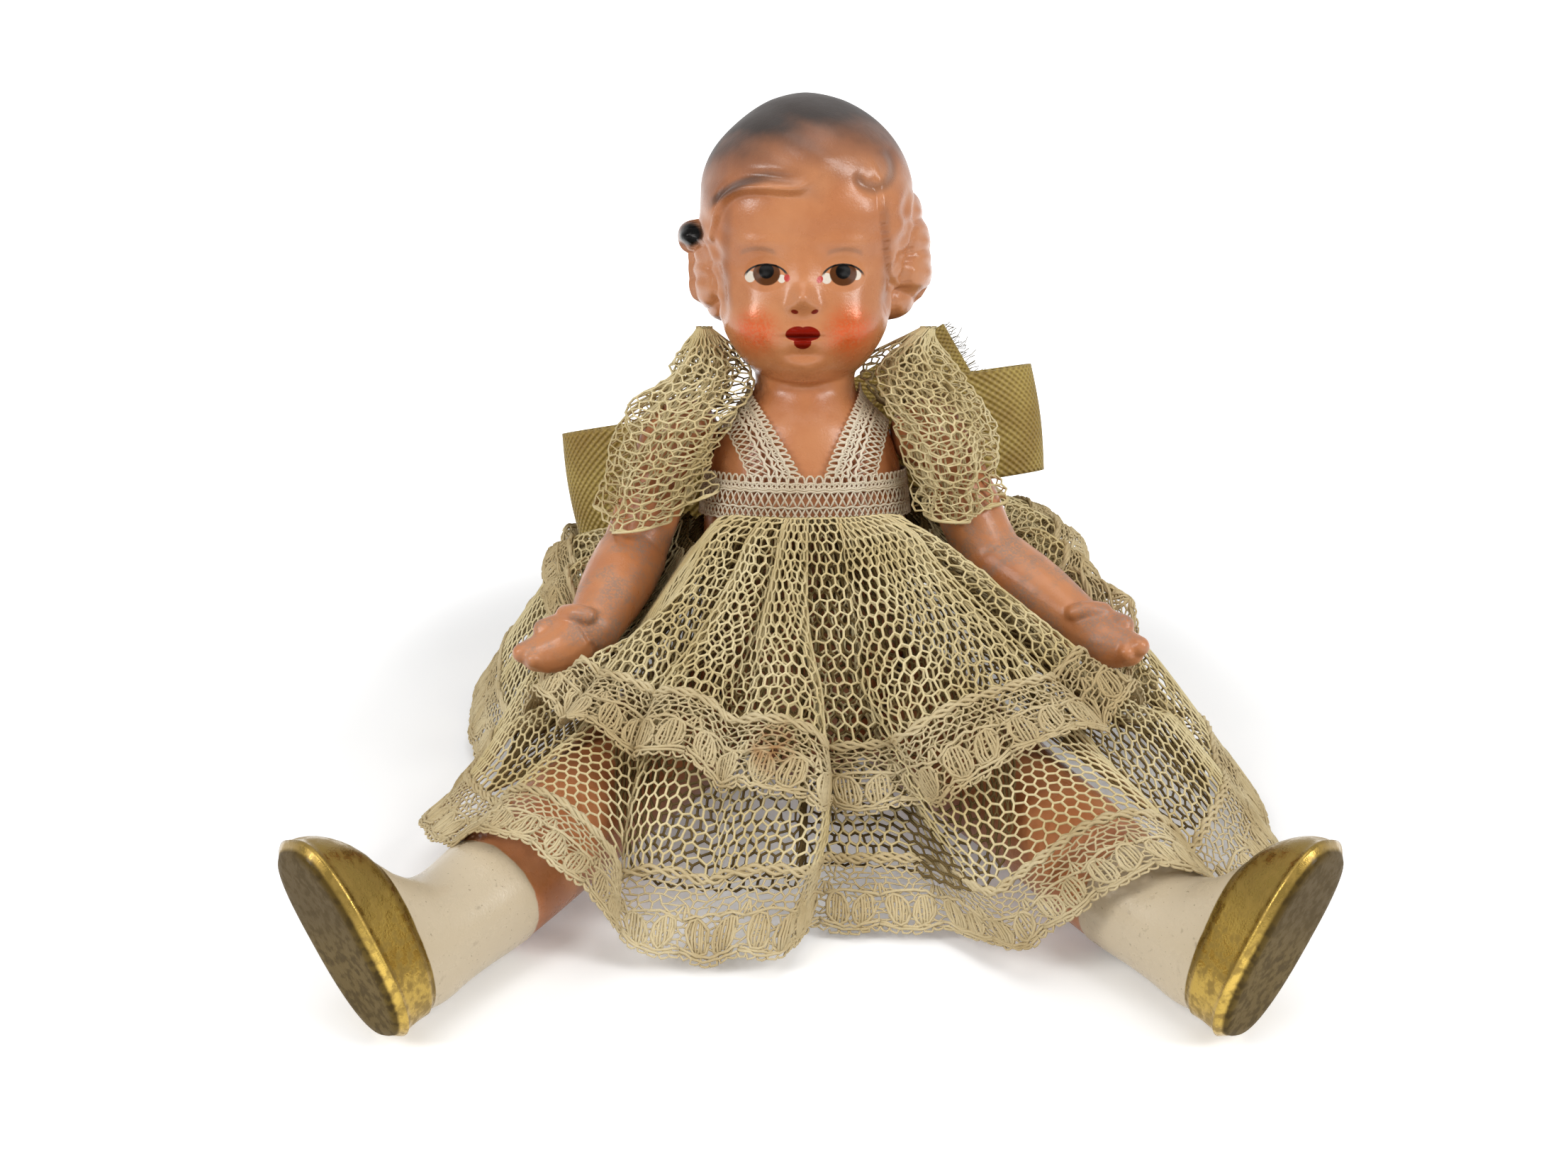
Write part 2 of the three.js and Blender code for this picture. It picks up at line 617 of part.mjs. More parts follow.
// The lace waistband, open at the middle of the back where the ribbon ties it.
function waistband() {
  const count = 32;
  const levels = [WAISTBAND.low, (WAISTBAND.low + WAISTBAND.high) / 2, WAISTBAND.high];
  const grid = (grow) =>
    Array.from({ length: count }, (_, i) => {
      const turn = (2 * Math.PI - WAISTBAND.opening) * (i / (count - 1));
      const angle = Math.PI + WAISTBAND.opening / 2 + turn;
      return levels.map((z) =>
        point((bodyWide(z) + grow) * Math.sin(angle), -(bodyDeep(z) + grow) * Math.cos(angle), z),
      );
    });
  return sheet(grid(FIT), grid(FIT + LACE), false);
}

// Where a ray from inside the chest leaves the body, grown by an offset; 0 aims up, 90 degrees forward.
function chestSkin(x, aim, grow) {
  const heart = WAISTBAND.high;
  const place = (reach) => point(x, -reach * Math.sin(aim), heart + reach * Math.cos(aim));
  let near = 0;
  let far = 40;
  for (let k = 0; k < 40; k++) {
    const middle = (near + far) / 2;
    const p = place(middle);
    const wide = bodyWide(p.z) + grow;
    const deep = bodyDeep(p.z) + grow;
    if ((p.x / wide) ** 2 + (p.y / deep) ** 2 < 1) near = middle;
    else far = middle;
  }
  return place(near);
}

// One lace strap, from the waistband in front over the shoulder to the waistband behind.
function strap(side) {
  const rows = 12;
  const columns = 3;
  const low = degrees(88);
  const grid = (grow) =>
    Array.from({ length: rows + 1 }, (_, i) => {
      const aim = THREE.MathUtils.lerp(low, -low, i / rows);
      const up = Math.cos(aim);
      return Array.from({ length: columns + 1 }, (_, j) => {
        const inner = THREE.MathUtils.lerp(STRAP.inFront, STRAP.inTop, up ** 2);
        const outer = THREE.MathUtils.lerp(STRAP.outFront, STRAP.outTop, up);
        return chestSkin(side * THREE.MathUtils.lerp(inner, outer, j / columns), aim, grow);
      });
    });
  return sheet(grid(FIT), grid(FIT + LACE), false);
}

// The height of the cloth tented over one leg, over a place on the floor.
function tentOverLeg(side, x, y) {
  const hip = leanBack(hipPlace(side));
  const aim = leanBack(point(0, 0, -1).applyQuaternion(legTurn(side)));
  const flat = Math.hypot(aim.x, aim.y);
  const t = ((x - hip.x) * aim.x + (y - hip.y) * aim.y) / flat ** 2;
  const along = THREE.MathUtils.clamp(t, 0, LEG.long);
  const beside = Math.hypot(((x - hip.x) * aim.y - (y - hip.y) * aim.x) / flat, (t - along) * flat);
  const radius = legSize("wide", along) + 3 * FIT;
  const leaves = Math.atan(TENT_FALL);
  const rim = radius * Math.sin(leaves);
  const rise =
    beside < rim
      ? Math.sqrt(radius ** 2 - beside ** 2)
      : radius * Math.cos(leaves) - TENT_FALL * (beside - rim);
  return hip.z + aim.z * along + rise;
}

// Balls along what lies on the skirt and presses it down: the arms, the bow and its lower tail.
function pressingBalls() {
  const balls = [];
  const row = (from, to, radiusFrom, radiusTo) => {
    const count = Math.ceil(from.distanceTo(to) / 2.5);
    for (let k = 0; k <= count; k++) {
      const place = leanBack(from.clone().lerp(to, k / count));
      balls.push({ place, radius: THREE.MathUtils.lerp(radiusFrom, radiusTo, k / count) });
    }
  };
  const reach = HAND.finger * 3.5;
  for (const [name, side] of Object.entries(SIDES)) {
    const { elbow, wrist, tip } = ARM[name];
    row(shoulderPlace(side), elbow, SHOULDER.ball, UPPER_ARM_RADIUS);
    row(elbow, wrist, FOREARM_RADIUS, WRIST_RADIUS);
    row(wrist, tip, reach, reach);
    const cuff = (share) => sleevePoint(side, share, SLEEVE[0].z, NET);
    for (let k = -4; k < 4; k++) row(cuff(k / 4), cuff((k + 1) / 4), 2 * FIT, 2 * FIT);
    const low = (share, drop) => inBow(point(side * RIBBON.loop * share, 0, -RIBBON.wide * drop));
    row(low(0.1, 0.2), low(0.45, 0.38), RIBBON.bulge, RIBBON.bulge);
    row(low(0.45, 0.38), low(1, 0.38), RIBBON.bulge, RIBBON.bulge);
  }
  const tailEnd = TAIL_AIM.right.clone().multiplyScalar(RIBBON.tail).add(tailStart(-1));
  row(inBow(tailStart(-1)), inBow(tailEnd), RIBBON.tailWide * 0.7, RIBBON.tailWide * 0.75);
  return balls;
}

// The highest that cloth may lie over a place on the floor, under everything that presses on it.
const PRESSING = pressingBalls();
function pressedTo(x, y, margin) {
  const steep = degrees(55);
  return PRESSING.reduce((limit, { place, radius }) => {
    const away = Math.hypot(x - place.x, y - place.y);
    const grown = radius + margin;
    const rim = grown * Math.sin(steep);
    const drop =
      away < rim
        ? Math.sqrt(grown ** 2 - away ** 2)
        : grown * Math.cos(steep) - Math.tan(steep) * (away - rim);
    return Math.min(limit, place.z - drop);
  }, Infinity);
}

// How far the underskirt reaches from the waist in a direction; 0 is in front.
function skirtReach(angle) {
  const turn = Math.abs(Math.atan2(Math.sin(angle), Math.cos(angle)));
  return SKIRT.reach * read(SKIRT_SHAPE, "turn", "share", THREE.MathUtils.radToDeg(turn));
}

// A point of the underskirt's lower face: direction round the waist, and share of the way to the hem.
function skirtPoint(angle, share) {
  const grow = FIT + LACE / 2;
  const z = WAISTBAND.low - 2 * FIT;
  const [wide, deep] = [bodyWide(z) + grow, bodyDeep(z) + grow];
  const waist = leanBack(point(wide * Math.sin(angle), -deep * Math.cos(angle), z));
  const reach = skirtReach(angle) * share;
  const x = waist.x + Math.sin(angle) * reach;
  const y = waist.y - Math.cos(angle) * reach;
  const front = 0.5 + 0.5 * Math.cos(angle);
  const bell = THREE.MathUtils.lerp(2.4, 1.15, front);
  const fold = SKIRT.foldTall * share ** 0.8 * (0.5 + 0.5 * Math.cos(SKIRT.folds * angle));
  const tent = waist.z * (1 - share ** bell) + FLOOR_GAP + fold;
  const over = Math.max(tentOverLeg(1, x, y), tentOverLeg(-1, x, y)) + FIT;
  const soft = 1.2;
  const draped = 0.5 * (tent + over + Math.hypot(tent - over, soft));
  const most = pressedTo(x, y, PRESS_MARGIN) - OVER_RAISE - LACE;
  return point(x, y, 0.5 * (draped + most - Math.hypot(draped - most, soft)));
}

// Even steps from one share of the skirt's length to another.
const steps = (from, to, rows) =>
  Array.from({ length: rows + 1 }, (_, j) => THREE.MathUtils.lerp(from, to, j / rows));

// A ring of the skirt at rising shares of its length, raised above the underskirt's lower face.
// The rows named as open have an even row of openings, the coarse form of the net.
function skirtRing(shares, raise, thick, openRows = []) {
  const count = 4 * SKIRT.folds;
  const grid = (lift) =>
    Array.from({ length: count }, (_, i) =>
      shares.map((share) => {
        const place = skirtPoint((2 * Math.PI * i) / count, share);
        return place.setZ(place.z + lift);
      }),
    );
  const open = (i, j) => {
    const column = i % OPENINGS.pitch;
    return openRows.includes(j) && column >= OPENINGS.first && column <= OPENINGS.last;
  };
  return sheet(grid(raise), grid(raise + thick), true, open);
}

// A point of a sleeve: share round the arm from the outside, height and growth.
function sleevePoint(side, around, z, grow) {
  const closing = THREE.MathUtils.smoothstep(z, SLEEVE_WRAP.from, SLEEVE_WRAP.to);
  const angle = around * THREE.MathUtils.lerp(SLEEVE_WRAP.arm, SLEEVE_WRAP.top, closing);
  const x = read(SLEEVE, "z", "x", z) + (read(SLEEVE, "z", "wide", z) + grow) * Math.cos(angle);
  const y = read(SLEEVE, "z", "y", z) + (read(SLEEVE, "z", "deep", z) + grow) * Math.sin(angle);
  return point(side * x, y, z);
}

// One gathered sleeve over the upper arm, drawn up to a peak beside the neck, open under the arm.
function sleeve(side) {
  const count = 15;
  const levels = SLEEVE.flatMap(({ z }, k) => (k === 0 ? [z] : [(SLEEVE[k - 1].z + z) / 2, z]));
  const top = levels.length - 1;
  const grid = (grow) =>
    Array.from({ length: count }, (_, i) => {
      const around = (2 * i) / (count - 1) - 1;
      return levels.map((z, j) => {
        const pleat = 0.35 * Math.cos(Math.PI * i) * (1 - j / top);
        return sleevePoint(side, around, z, grow + pleat);
      });
    });
  return sheet(grid(0), grid(NET), false);
}

// The middle of the bow's knot in the body's frame. The bow has a frame of its own there, with X along
// the bow and Y away from the doll's back.
function bowPlace() {
  return point(0, bodyDeep(BOW.z - KNOT.tall / 2) + KNOT.deep / 2 + LACE + 2 * FIT, BOW.z);
}

// From the bow's frame to the body's frame.
function inBow(p) {
  return p.clone().applyAxisAngle(point(0, 1, 0), -BOW.tilt).add(bowPlace());
}

// One teardrop loop of ribbon.
function bowLoop(side) {
  const count = 18;
  const columns = 2;
  const grid = (grow) =>
    Array.from({ length: count }, (_, i) => {
      const angle = (2 * Math.PI * i) / count;
      const share = 0.5 - 0.5 * Math.cos(angle);
      const x = KNOT.wide / 2 + FIT + grow + (RIBBON.loop - KNOT.wide / 2 - 2 * grow) * share;
      const y = (RIBBON.bulge - grow) * Math.sin(angle) * (0.35 + 0.65 * share);
      return Array.from({ length: columns + 1 }, (_, j) => {
        const gather = THREE.MathUtils.lerp(0.42, 1, THREE.MathUtils.smoothstep(share, 0, 0.45));
        return point(side * x, y, (j / columns - 0.5) * RIBBON.wide * gather);
      });
    });
  return sheet(grid(RIBBON.thick), grid(0), true);
}

// The knot, a short wrap of ribbon with rounded edges.
function bowKnot() {
  const outline = new THREE.Shape();
  const [w, d] = [KNOT.wide / 2, KNOT.deep / 2];
  outline.absellipse(0, 0, w, d, 0, 2 * Math.PI);
  return new THREE.ExtrudeGeometry(outline, {
    depth: KNOT.tall - 2,
    curveSegments: 10,
    bevelThickness: 1,
    bevelSize: 0.8,
    bevelOffset: -0.8,
    bevelSegments: 2,
  }).translate(0, 0, 1 - KNOT.tall / 2);
}

// Where a ribbon tail leaves the knot.
function tailStart(side) {
  return point(side * KNOT.wide * 0.2, KNOT.deep / 2 + FIT, 0);
}

// One ribbon tail from under the knot, aimed along a direction, with a gentle wave.
function bowTail(aim, side) {
  const rows = 8;
  const across = point(0, 0, 0).crossVectors(aim, point(0, 1, 0)).normalize();
  const start = tailStart(side);
  const grid = (grow) =>
    Array.from({ length: rows + 1 }, (_, i) => {
      const share = i / rows;
      const clear = (RIBBON.bulge + FIT) * THREE.MathUtils.smoothstep(share, 0, 0.35);
      const wave = clear + 0.8 * Math.sin(2.2 * Math.PI * share) * share;
      const spread = THREE.MathUtils.smoothstep(share, 0, 0.4);
      const wide = RIBBON.tailWide * THREE.MathUtils.lerp(0.5, 1, spread);
      return [-0.5, 0, 0.5].map((v) =>
        start
          .clone()
          .addScaledVector(aim, RIBBON.tail * share)
          .addScaledVector(across, wide * v)
          .add(point(0, wave + grow, 0)),
      );
    });
  return sheet(grid(0), grid(RIBBON.thick), false);
}

// Assembly

const doll = new THREE.Group();
const body = new THREE.Group();
body.rotation.x = -RECLINE;
doll.add(body);

function add(parent, name, geometry, material) {
  const mesh = new THREE.Mesh(geometry, material);
  mesh.name = name;
  parent.add(mesh);
  return mesh;
}

add(body, "head_and_body", headAndBody(), FLESH);
add(body, "arm_elastic", elastic(armEye(1)), ELASTIC);
add(body, "leg_elastic", elastic(legEye(1)), ELASTIC);

for (const [name, side] of Object.entries(SIDES)) {
  const armFrame = new THREE.Group();
  armFrame.position.copy(shoulderPlace(side));
  body.add(armFrame);
  add(armFrame, `${name}_arm`, armCasting(name, side), FLESH);
  const buried = point(side * (SHOULDER.x - SHOULDER.ball + SHANK_BURIED), SHOULDER.y, SHOULDER.z);
  add(body, `${name}_arm_hook`, hook(buried, armEye(side), armAim(side)), STEEL_WIRE);

  const legFrame = new THREE.Group();
  legFrame.position.copy(hipPlace(side));
  legFrame.quaternion.copy(legTurn(side));
  body.add(legFrame);
  add(legFrame, `${name}_leg`, legCasting(side), FLESH);
  const thigh = hipPlace(side).addScaledVector(hipOut(side), SHANK_BURIED);
  add(body, `${name}_leg_hook`, hook(thigh, legEye(side), hipOut(side)), STEEL_WIRE);

  add(body, `${name}_strap`, strap(side), COTTON_LACE);
  add(body, `${name}_sleeve`, sleeve(side), COTTON_NET);
}

add(body, "waistband", waistband(), COTTON_LACE);
const laceGap = FIT / skirtReach(0);
const overShares = steps(SKIRT.waist, SKIRT.over, 4);
const overLaceShares = steps(SKIRT.over + laceGap, SKIRT.overLace, 2);
const underShares = [...overShares, ...overLaceShares, SKIRT.netEnd];
const underLaceShares = steps(SKIRT.netEnd + laceGap, 1, 3);
add(doll, "underskirt", skirtRing(underShares, 0, NET, [1, 2, 5, 6]), COTTON_NET);
add(doll, "underskirt_lace", skirtRing(underLaceShares, 0, LACE, [1]), COTTON_LACE);
add(doll, "overskirt", skirtRing(overShares, OVER_RAISE, NET), COTTON_NET);
add(doll, "overskirt_lace", skirtRing(overLaceShares, OVER_RAISE, LACE), COTTON_LACE);

const bow = new THREE.Group();
bow.position.copy(bowPlace());
bow.rotation.y = -BOW.tilt;
body.add(bow);
add(bow, "bow_knot", bowKnot(), RIBBON_SILK);
for (const [name, side] of Object.entries(SIDES)) {
  add(bow, `bow_${name}_loop`, bowLoop(side), RIBBON_SILK);
}
add(bow, "bow_left_tail", bowTail(TAIL_AIM.left, 1), RIBBON_SILK);
add(bow, "bow_right_tail", bowTail(TAIL_AIM.right, -1), RIBBON_SILK);

export default doll;
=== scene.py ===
"""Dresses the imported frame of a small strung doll: painted castings, a net and lace dress, a ribbon bow."""
import logging
import math
from dataclasses import dataclass
from enum import Enum
from functools import reduce
from typing import Callable, Iterable, Sequence

import bpy
import numpy as np
from mathutils import Matrix, Vector


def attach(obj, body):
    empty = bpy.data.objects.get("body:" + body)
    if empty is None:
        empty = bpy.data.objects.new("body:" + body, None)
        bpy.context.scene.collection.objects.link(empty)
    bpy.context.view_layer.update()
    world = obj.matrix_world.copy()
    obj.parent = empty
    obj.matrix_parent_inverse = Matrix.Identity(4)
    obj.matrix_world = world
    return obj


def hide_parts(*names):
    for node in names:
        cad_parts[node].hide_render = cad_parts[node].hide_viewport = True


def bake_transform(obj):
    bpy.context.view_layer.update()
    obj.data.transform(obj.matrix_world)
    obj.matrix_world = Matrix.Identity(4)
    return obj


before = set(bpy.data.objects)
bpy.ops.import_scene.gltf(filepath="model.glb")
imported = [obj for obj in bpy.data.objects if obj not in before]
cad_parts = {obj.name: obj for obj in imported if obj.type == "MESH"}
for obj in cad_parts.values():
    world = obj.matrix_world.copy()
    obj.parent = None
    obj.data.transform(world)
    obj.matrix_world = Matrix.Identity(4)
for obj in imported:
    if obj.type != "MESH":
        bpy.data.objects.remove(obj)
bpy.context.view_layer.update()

MM = 0.001
LOG = logging.getLogger("doll")
Array = np.ndarray
Piece = bpy.types.Object
Socket = bpy.types.NodeSocket
Material = bpy.types.Material
Surface = Callable[[Array, Array], Array]
Row = tuple[float, ...]
Flat = tuple[float, float]
Place = tuple[float, float, float]
Colour = tuple[float, float, float]


class Side(Enum):
    """The doll's own left is towards +X."""

    LEFT = 1
    RIGHT = -1

    @property
    def word(self) -> str:
        """The side as it stands in node and body names."""
        return self.name.lower()

    @property
    def order(self) -> int:
        """Where the side stands in a pair of values, left first."""
        return int(self is Side.RIGHT)


class Slot(Enum):
    """Material slots of the record that the pieces in view use."""

    PAINT = "painted_composition"
    LACE = "cotton_lace"
    NET = "cotton_net"
    RIBBON = "ribbon"


# Numbers


def step(value: Array, low: float, high: float) -> Array:
    """A smooth rise from 0 at low to 1 at high."""
    share = np.clip((value - low) / (high - low), 0, 1)
    return share * share * (3 - 2 * share)


def mound(across: Array, up: Array, wide: float, tall: float) -> Array:
    """A soft round mound of height 1."""
    return np.exp(-((across / wide) ** 2) - (up / tall) ** 2)


def bell(off: Array, wide: float) -> Array:
    """A soft round ridge of height 1."""
    return np.exp(-((off / wide) ** 2))


def half_turn(angle: Array) -> Array:
    """An angle brought to within half a turn of 0."""
    return np.arctan2(np.sin(angle), np.cos(angle))


def higher(a: Array, b: Array, soft: float) -> Array:
    """The larger of two heights, rounded where they meet."""
    return 0.5 * (a + b + np.hypot(a - b, soft))


def lower(a: Array, b: Array, soft: float) -> Array:
    """The smaller of two heights, rounded where they meet."""
    return 0.5 * (a + b - np.hypot(a - b, soft))


def stack(x: Array, y: Array, z: Array) -> Array:
    """Points from their three coordinates."""
    return np.stack(np.broadcast_arrays(x, y, z), -1).astype(float)


class Profile:
    """One size of a piece, read smoothly along a length."""

    def __init__(self, places: Sequence[float], sizes: Sequence[float]) -> None:
        self.places = np.asarray(places, float)
        self.sizes = np.asarray(sizes, float)
        slopes = np.empty_like(self.sizes)
        slopes[1:-1] = (self.sizes[2:] - self.sizes[:-2]) / (self.places[2:] - self.places[:-2])
        slopes[0] = (self.sizes[1] - self.sizes[0]) / (self.places[1] - self.places[0])
        slopes[-1] = (self.sizes[-1] - self.sizes[-2]) / (self.places[-1] - self.places[-2])
        self.slopes = slopes

    def __call__(self, at: Array | float) -> Array:
        """The size at one or more places."""
        at = np.asarray(at, float)
        i = np.clip(np.searchsorted(self.places, at, side="right") - 1, 0, len(self.places) - 2)
        span = self.places[i + 1] - self.places[i]
        s = np.clip((at - self.places[i]) / span, 0, 1)
        return (
            self.sizes[i] * (2 * s**3 - 3 * s**2 + 1)
            + self.slopes[i] * span * (s**3 - 2 * s**2 + s)
            + self.sizes[i + 1] * (3 * s**2 - 2 * s**3)
            + self.slopes[i + 1] * span * (s**3 - s**2)
        )


# Posture


def turn(angle: float, axis: Sequence[float]) -> Array:
    """The matrix of a turn about an axis through the origin."""
    return np.array(Matrix.Rotation(angle, 3, Vector(axis)))


@dataclass(frozen=True)
class Posture:
    """How the doll sits, with sizes in millimetres and angles in radians."""

    recline: float = math.radians(13.5)
    hip_slant: float = math.radians(24.55)
    hip_flex: float = math.radians(88.2)
    stance: float = math.radians(8)
    hip: Place = (12.0, 0.0, 11.0)
    shoulder: Place = (18.2, 0.0, 50.4)

    def lean(self, points: Array) -> Array:
        """Points of the upright body, leant back as the doll sits."""
        return np.asarray(points, float) @ self.leaning().T

    def leaning(self) -> Array:
        """The turn of the body from upright to leant back."""
        return turn(-self.recline, (1, 0, 0))

    def at_hip(self, side: Side) -> Array:
        """The middle of a hip face, in the upright body."""
        return np.array(self.hip) * (side.value, 1, 1)

    def at_shoulder(self, side: Side) -> Array:
        """The middle of a shoulder ball, in the upright body."""
        return np.array(self.shoulder) * (side.value, 1, 1)

    def hip_out(self, side: Side) -> Array:
        """The way a hip face looks."""
        return np.array((side.value * math.cos(self.hip_slant), 0, -math.sin(self.hip_slant)))

    def leg_turn(self, side: Side) -> Array:
        """The turn of a leg from standing to sitting, in the upright body."""
        axis = (math.cos(self.hip_slant), 0, -side.value * math.sin(self.hip_slant))
        return turn(-self.hip_flex, axis) @ turn(-side.value * self.stance, (0, 1, 0))

    def place_leg(self, points: Array, side: Side) -> Array:
        """Points of a standing leg at its hip, brought to where the leg lies."""
        return self.lean(points @ self.leg_turn(side).T + self.at_hip(side))


POSTURE = Posture()
# In millimetres: a leg from hip to sole, the gap left between pieces, and the thickness of net and lace
LEG_LONG = 84.0
FIT = 0.35
NET = 0.7
LACE = 0.9

# Modelling by hand

# In metres: how near points lie that merge, at the seam of a closed grid and along a thread
GRID_SEAM = 2e-6
THREAD_SEAM = 1e-7
# Share of a capsule's rows in each of its round ends
CAPSULE_END = 0.25


def take(obj: Piece) -> Piece:
    """Makes one object the only selected and active one."""
    bpy.ops.object.select_all(action="DESELECT")
    obj.select_set(True)
    bpy.context.view_layer.objects.active = obj
    return obj


def points_of(obj: Piece) -> Array:
    """An object's points in millimetres."""
    flat = np.empty(3 * len(obj.data.vertices), np.float32)
    obj.data.vertices.foreach_get("co", flat)
    return flat.reshape(-1, 3).astype(float) / MM


def put_points(obj: Piece, points: Array) -> None:
    """Moves an object's points to places in millimetres."""
    obj.data.vertices.foreach_set("co", (points * MM).astype(np.float32).ravel())
    obj.data.update()


def add_object(name: str, data: bpy.types.ID) -> Piece:
    """A new object in the scene."""
    obj = bpy.data.objects.new(name, data)
    bpy.context.collection.objects.link(obj)
    return obj


def weld(within: float, face_out: bool = False) -> None:
    """Merges near points of the active object, and turns its faces out where that is asked for."""
    bpy.ops.object.mode_set(mode="EDIT")
    bpy.ops.mesh.select_all(action="SELECT")
    bpy.ops.mesh.remove_doubles(threshold=within)
    if face_out:
        bpy.ops.mesh.normals_make_consistent(inside=False)
    bpy.ops.object.mode_set(mode="OBJECT")


def lay_grid(name: str, surface: Surface, columns: int, rows: int, closed: bool = False) -> Piece:
    """A grid laid on a surface.

    Args:
        name: name of the piece.
        surface: gives millimetre places from shares across and along the grid.
        columns: faces across.
        rows: faces along.
        closed: merges the seam and the poles, and turns the faces out.

    Returns:
        The new object.
    """
    bpy.ops.object.select_all(action="DESELECT")
    bpy.ops.mesh.primitive_grid_add(x_subdivisions=columns, y_subdivisions=rows, size=1, calc_uvs=True)
    obj = bpy.context.object
    obj.name = obj.data.name = name
    shares = points_of(obj) * MM + 0.5
    put_points(obj, surface(np.clip(shares[:, 0], 0, 1), np.clip(shares[:, 1], 0, 1)))
    if closed:
        weld(GRID_SEAM, face_out=True)
    bpy.ops.object.shade_smooth()
    return obj


def refine(obj: Piece, kind: str, **settings: object) -> Piece:
    """Adds one modifier with its settings and applies it."""
    take(obj)
    modifier = obj.modifiers.new(kind.title(), kind)
    for name, value in settings.items():
        setattr(modifier, name, value)
    bpy.ops.object.modifier_apply(modifier=modifier.name)
    return obj


def join(name: str, parts: Sequence[Piece]) -> Piece:
    """Joins several objects into the first and names it."""
    take(parts[0])
    for part in parts[1:]:
        part.select_set(True)
    if len(parts) > 1:
        bpy.ops.object.join()
    obj = bpy.context.view_layer.objects.active
    obj.name = obj.data.name = name
    return obj


def cast(name: str, parts: Sequence[Piece], grain: float, smooth: int) -> Piece:
    """Melts closed parts into one casting with soft creases.

    Args:
        name: name of the casting.
        parts: closed, overlapping objects.
        grain: size of the new faces in millimetres.
        smooth: rounds of smoothing.

    Returns:
        The casting.
    """
    obj = join(name, parts)
    refine(obj, "REMESH", mode="VOXEL", voxel_size=grain * MM)
    refine(obj, "SMOOTH", factor=0.5, iterations=smooth)
    bpy.ops.object.shade_smooth()
    return obj


def capsule(name: str, path: Sequence[Sequence[float]], radii: Sequence[float], sides: int = 16) -> Piece:
    """A round-ended bar along a smooth path, with its own radius at each point."""
    path = np.asarray(path, float)
    spots = np.arange(len(path))
    last = len(path) - 1
    line = [Profile(spots, path[:, k]) for k in range(3)]
    girth = Profile(spots, radii)

    def skin(u: Array, v: Array) -> Array:
        """Rings along the path with half a ball at each end."""
        body = np.clip((v - CAPSULE_END) / (1 - 2 * CAPSULE_END), 0, 1) * last
        bulge = np.clip((CAPSULE_END - v) / CAPSULE_END, 0, 1)
        bulge -= np.clip((v - 1 + CAPSULE_END) / CAPSULE_END, 0, 1)
        before, after = np.maximum(body - 0.02, 0), np.minimum(body + 0.02, last)
        centre = np.stack([f(body) for f in line], -1)
        ahead = np.stack([f(after) - f(before) for f in line], -1)
        ahead /= np.linalg.norm(ahead, axis=1, keepdims=True)
        radius = girth(body)
        helper = np.where(np.abs(ahead[:, :1]) < 0.8, [[1.0, 0, 0]], [[0, 1.0, 0]])
        side = np.cross(ahead, helper)
        side /= np.linalg.norm(side, axis=1, keepdims=True)
        up = np.cross(ahead, side)
        rim = radius * np.cos(np.abs(bulge) * math.pi / 2)
        rim[np.abs(bulge) > 0.9999] = 0
        angle = math.tau * u
        centre = centre - ahead * (radius * np.sin(bulge * math.pi / 2))[:, None]
        return centre + side * (rim * np.cos(angle))[:, None] + up * (rim * np.sin(angle))[:, None]

    return lay_grid(name, skin, sides, 24, closed=True)


def hex_net(
    name: str, surface: Surface, columns: int, rows: int, thread: float,
    wrap: bool = False, loose: float = 0.05,
) -> Piece:
    """A net of six-sided cells, each side a thread with thickness.

    Args:
        name: name of the piece.
        surface: gives millimetre places from shares across and along the net.
        columns: cells across.
        rows: cells along.
        thread: thickness of a thread in millimetres.
        wrap: joins the last column to the first.
        loose: how far the knots stray, in shares of a cell.

    Returns:
        The net.
    """
    index: dict[tuple[int, int], int] = {}
    faces = []
    corners = ((0, 2), (1, 1), (1, -1), (0, -2), (-1, -1), (-1, 1))
    for j in range(rows):
        for i in range(columns - (0 if wrap else j % 2)):
            face = []
            for dx, dy in corners:
                x = 2 * i + j % 2 + dx + 1
                key = (x % (2 * columns) if wrap else x, 3 * j + dy)
                face.append(index.setdefault(key, len(index)))
            faces.append(face)
    keys = np.array(list(index), float)
    stray = np.random.default_rng(len(keys)).normal(0, loose, keys.shape)
    across = (keys[:, 0] / 2 + stray[:, 0]) / columns
    along = (keys[:, 1] / 3 + 2 / 3 + stray[:, 1]) / (rows + 1 / 3)
    across = across % 1 if wrap else np.clip(across, 0, 1)
    places = surface(across, np.clip(along, 0, 1))
    mesh = bpy.data.meshes.new(name)
    mesh.from_pydata((places * MM).tolist(), [], faces)
    obj = add_object(name, mesh)
    refine(obj, "WIREFRAME", thickness=thread * MM, use_even_offset=False, use_boundary=True)
    bpy.ops.object.shade_smooth()
    return obj


@dataclass
class Yarn:
    """One thread: its points in millimetres and its radius."""

    points: Array
    radius: float
    ring: bool = False


def threads(name: str, yarns: Iterable[Yarn]) -> Piece:
    """Four-sided threads along their points, shaded round, as one mesh."""
    curve = bpy.data.curves.new(name, "CURVE")
    curve.dimensions = "3D"
    curve.bevel_depth = MM
    curve.bevel_resolution = 0
    curve.use_fill_caps = True
    for yarn in yarns:
        spline = curve.splines.new("POLY")
        spline.points.add(len(yarn.points) - 1)
        flat = np.ones((len(yarn.points), 4), np.float32)
        flat[:, :3] = yarn.points * MM
        spline.points.foreach_set("co", flat.ravel())
        spline.points.foreach_set("radius", np.full(len(yarn.points), yarn.radius, np.float32))
        spline.use_cyclic_u = yarn.ring
    take(add_object(name, curve))
    bpy.ops.object.convert(target="MESH")
    weld(THREAD_SEAM)
    bpy.ops.object.shade_smooth()
    return bpy.context.object


# Shader nodes


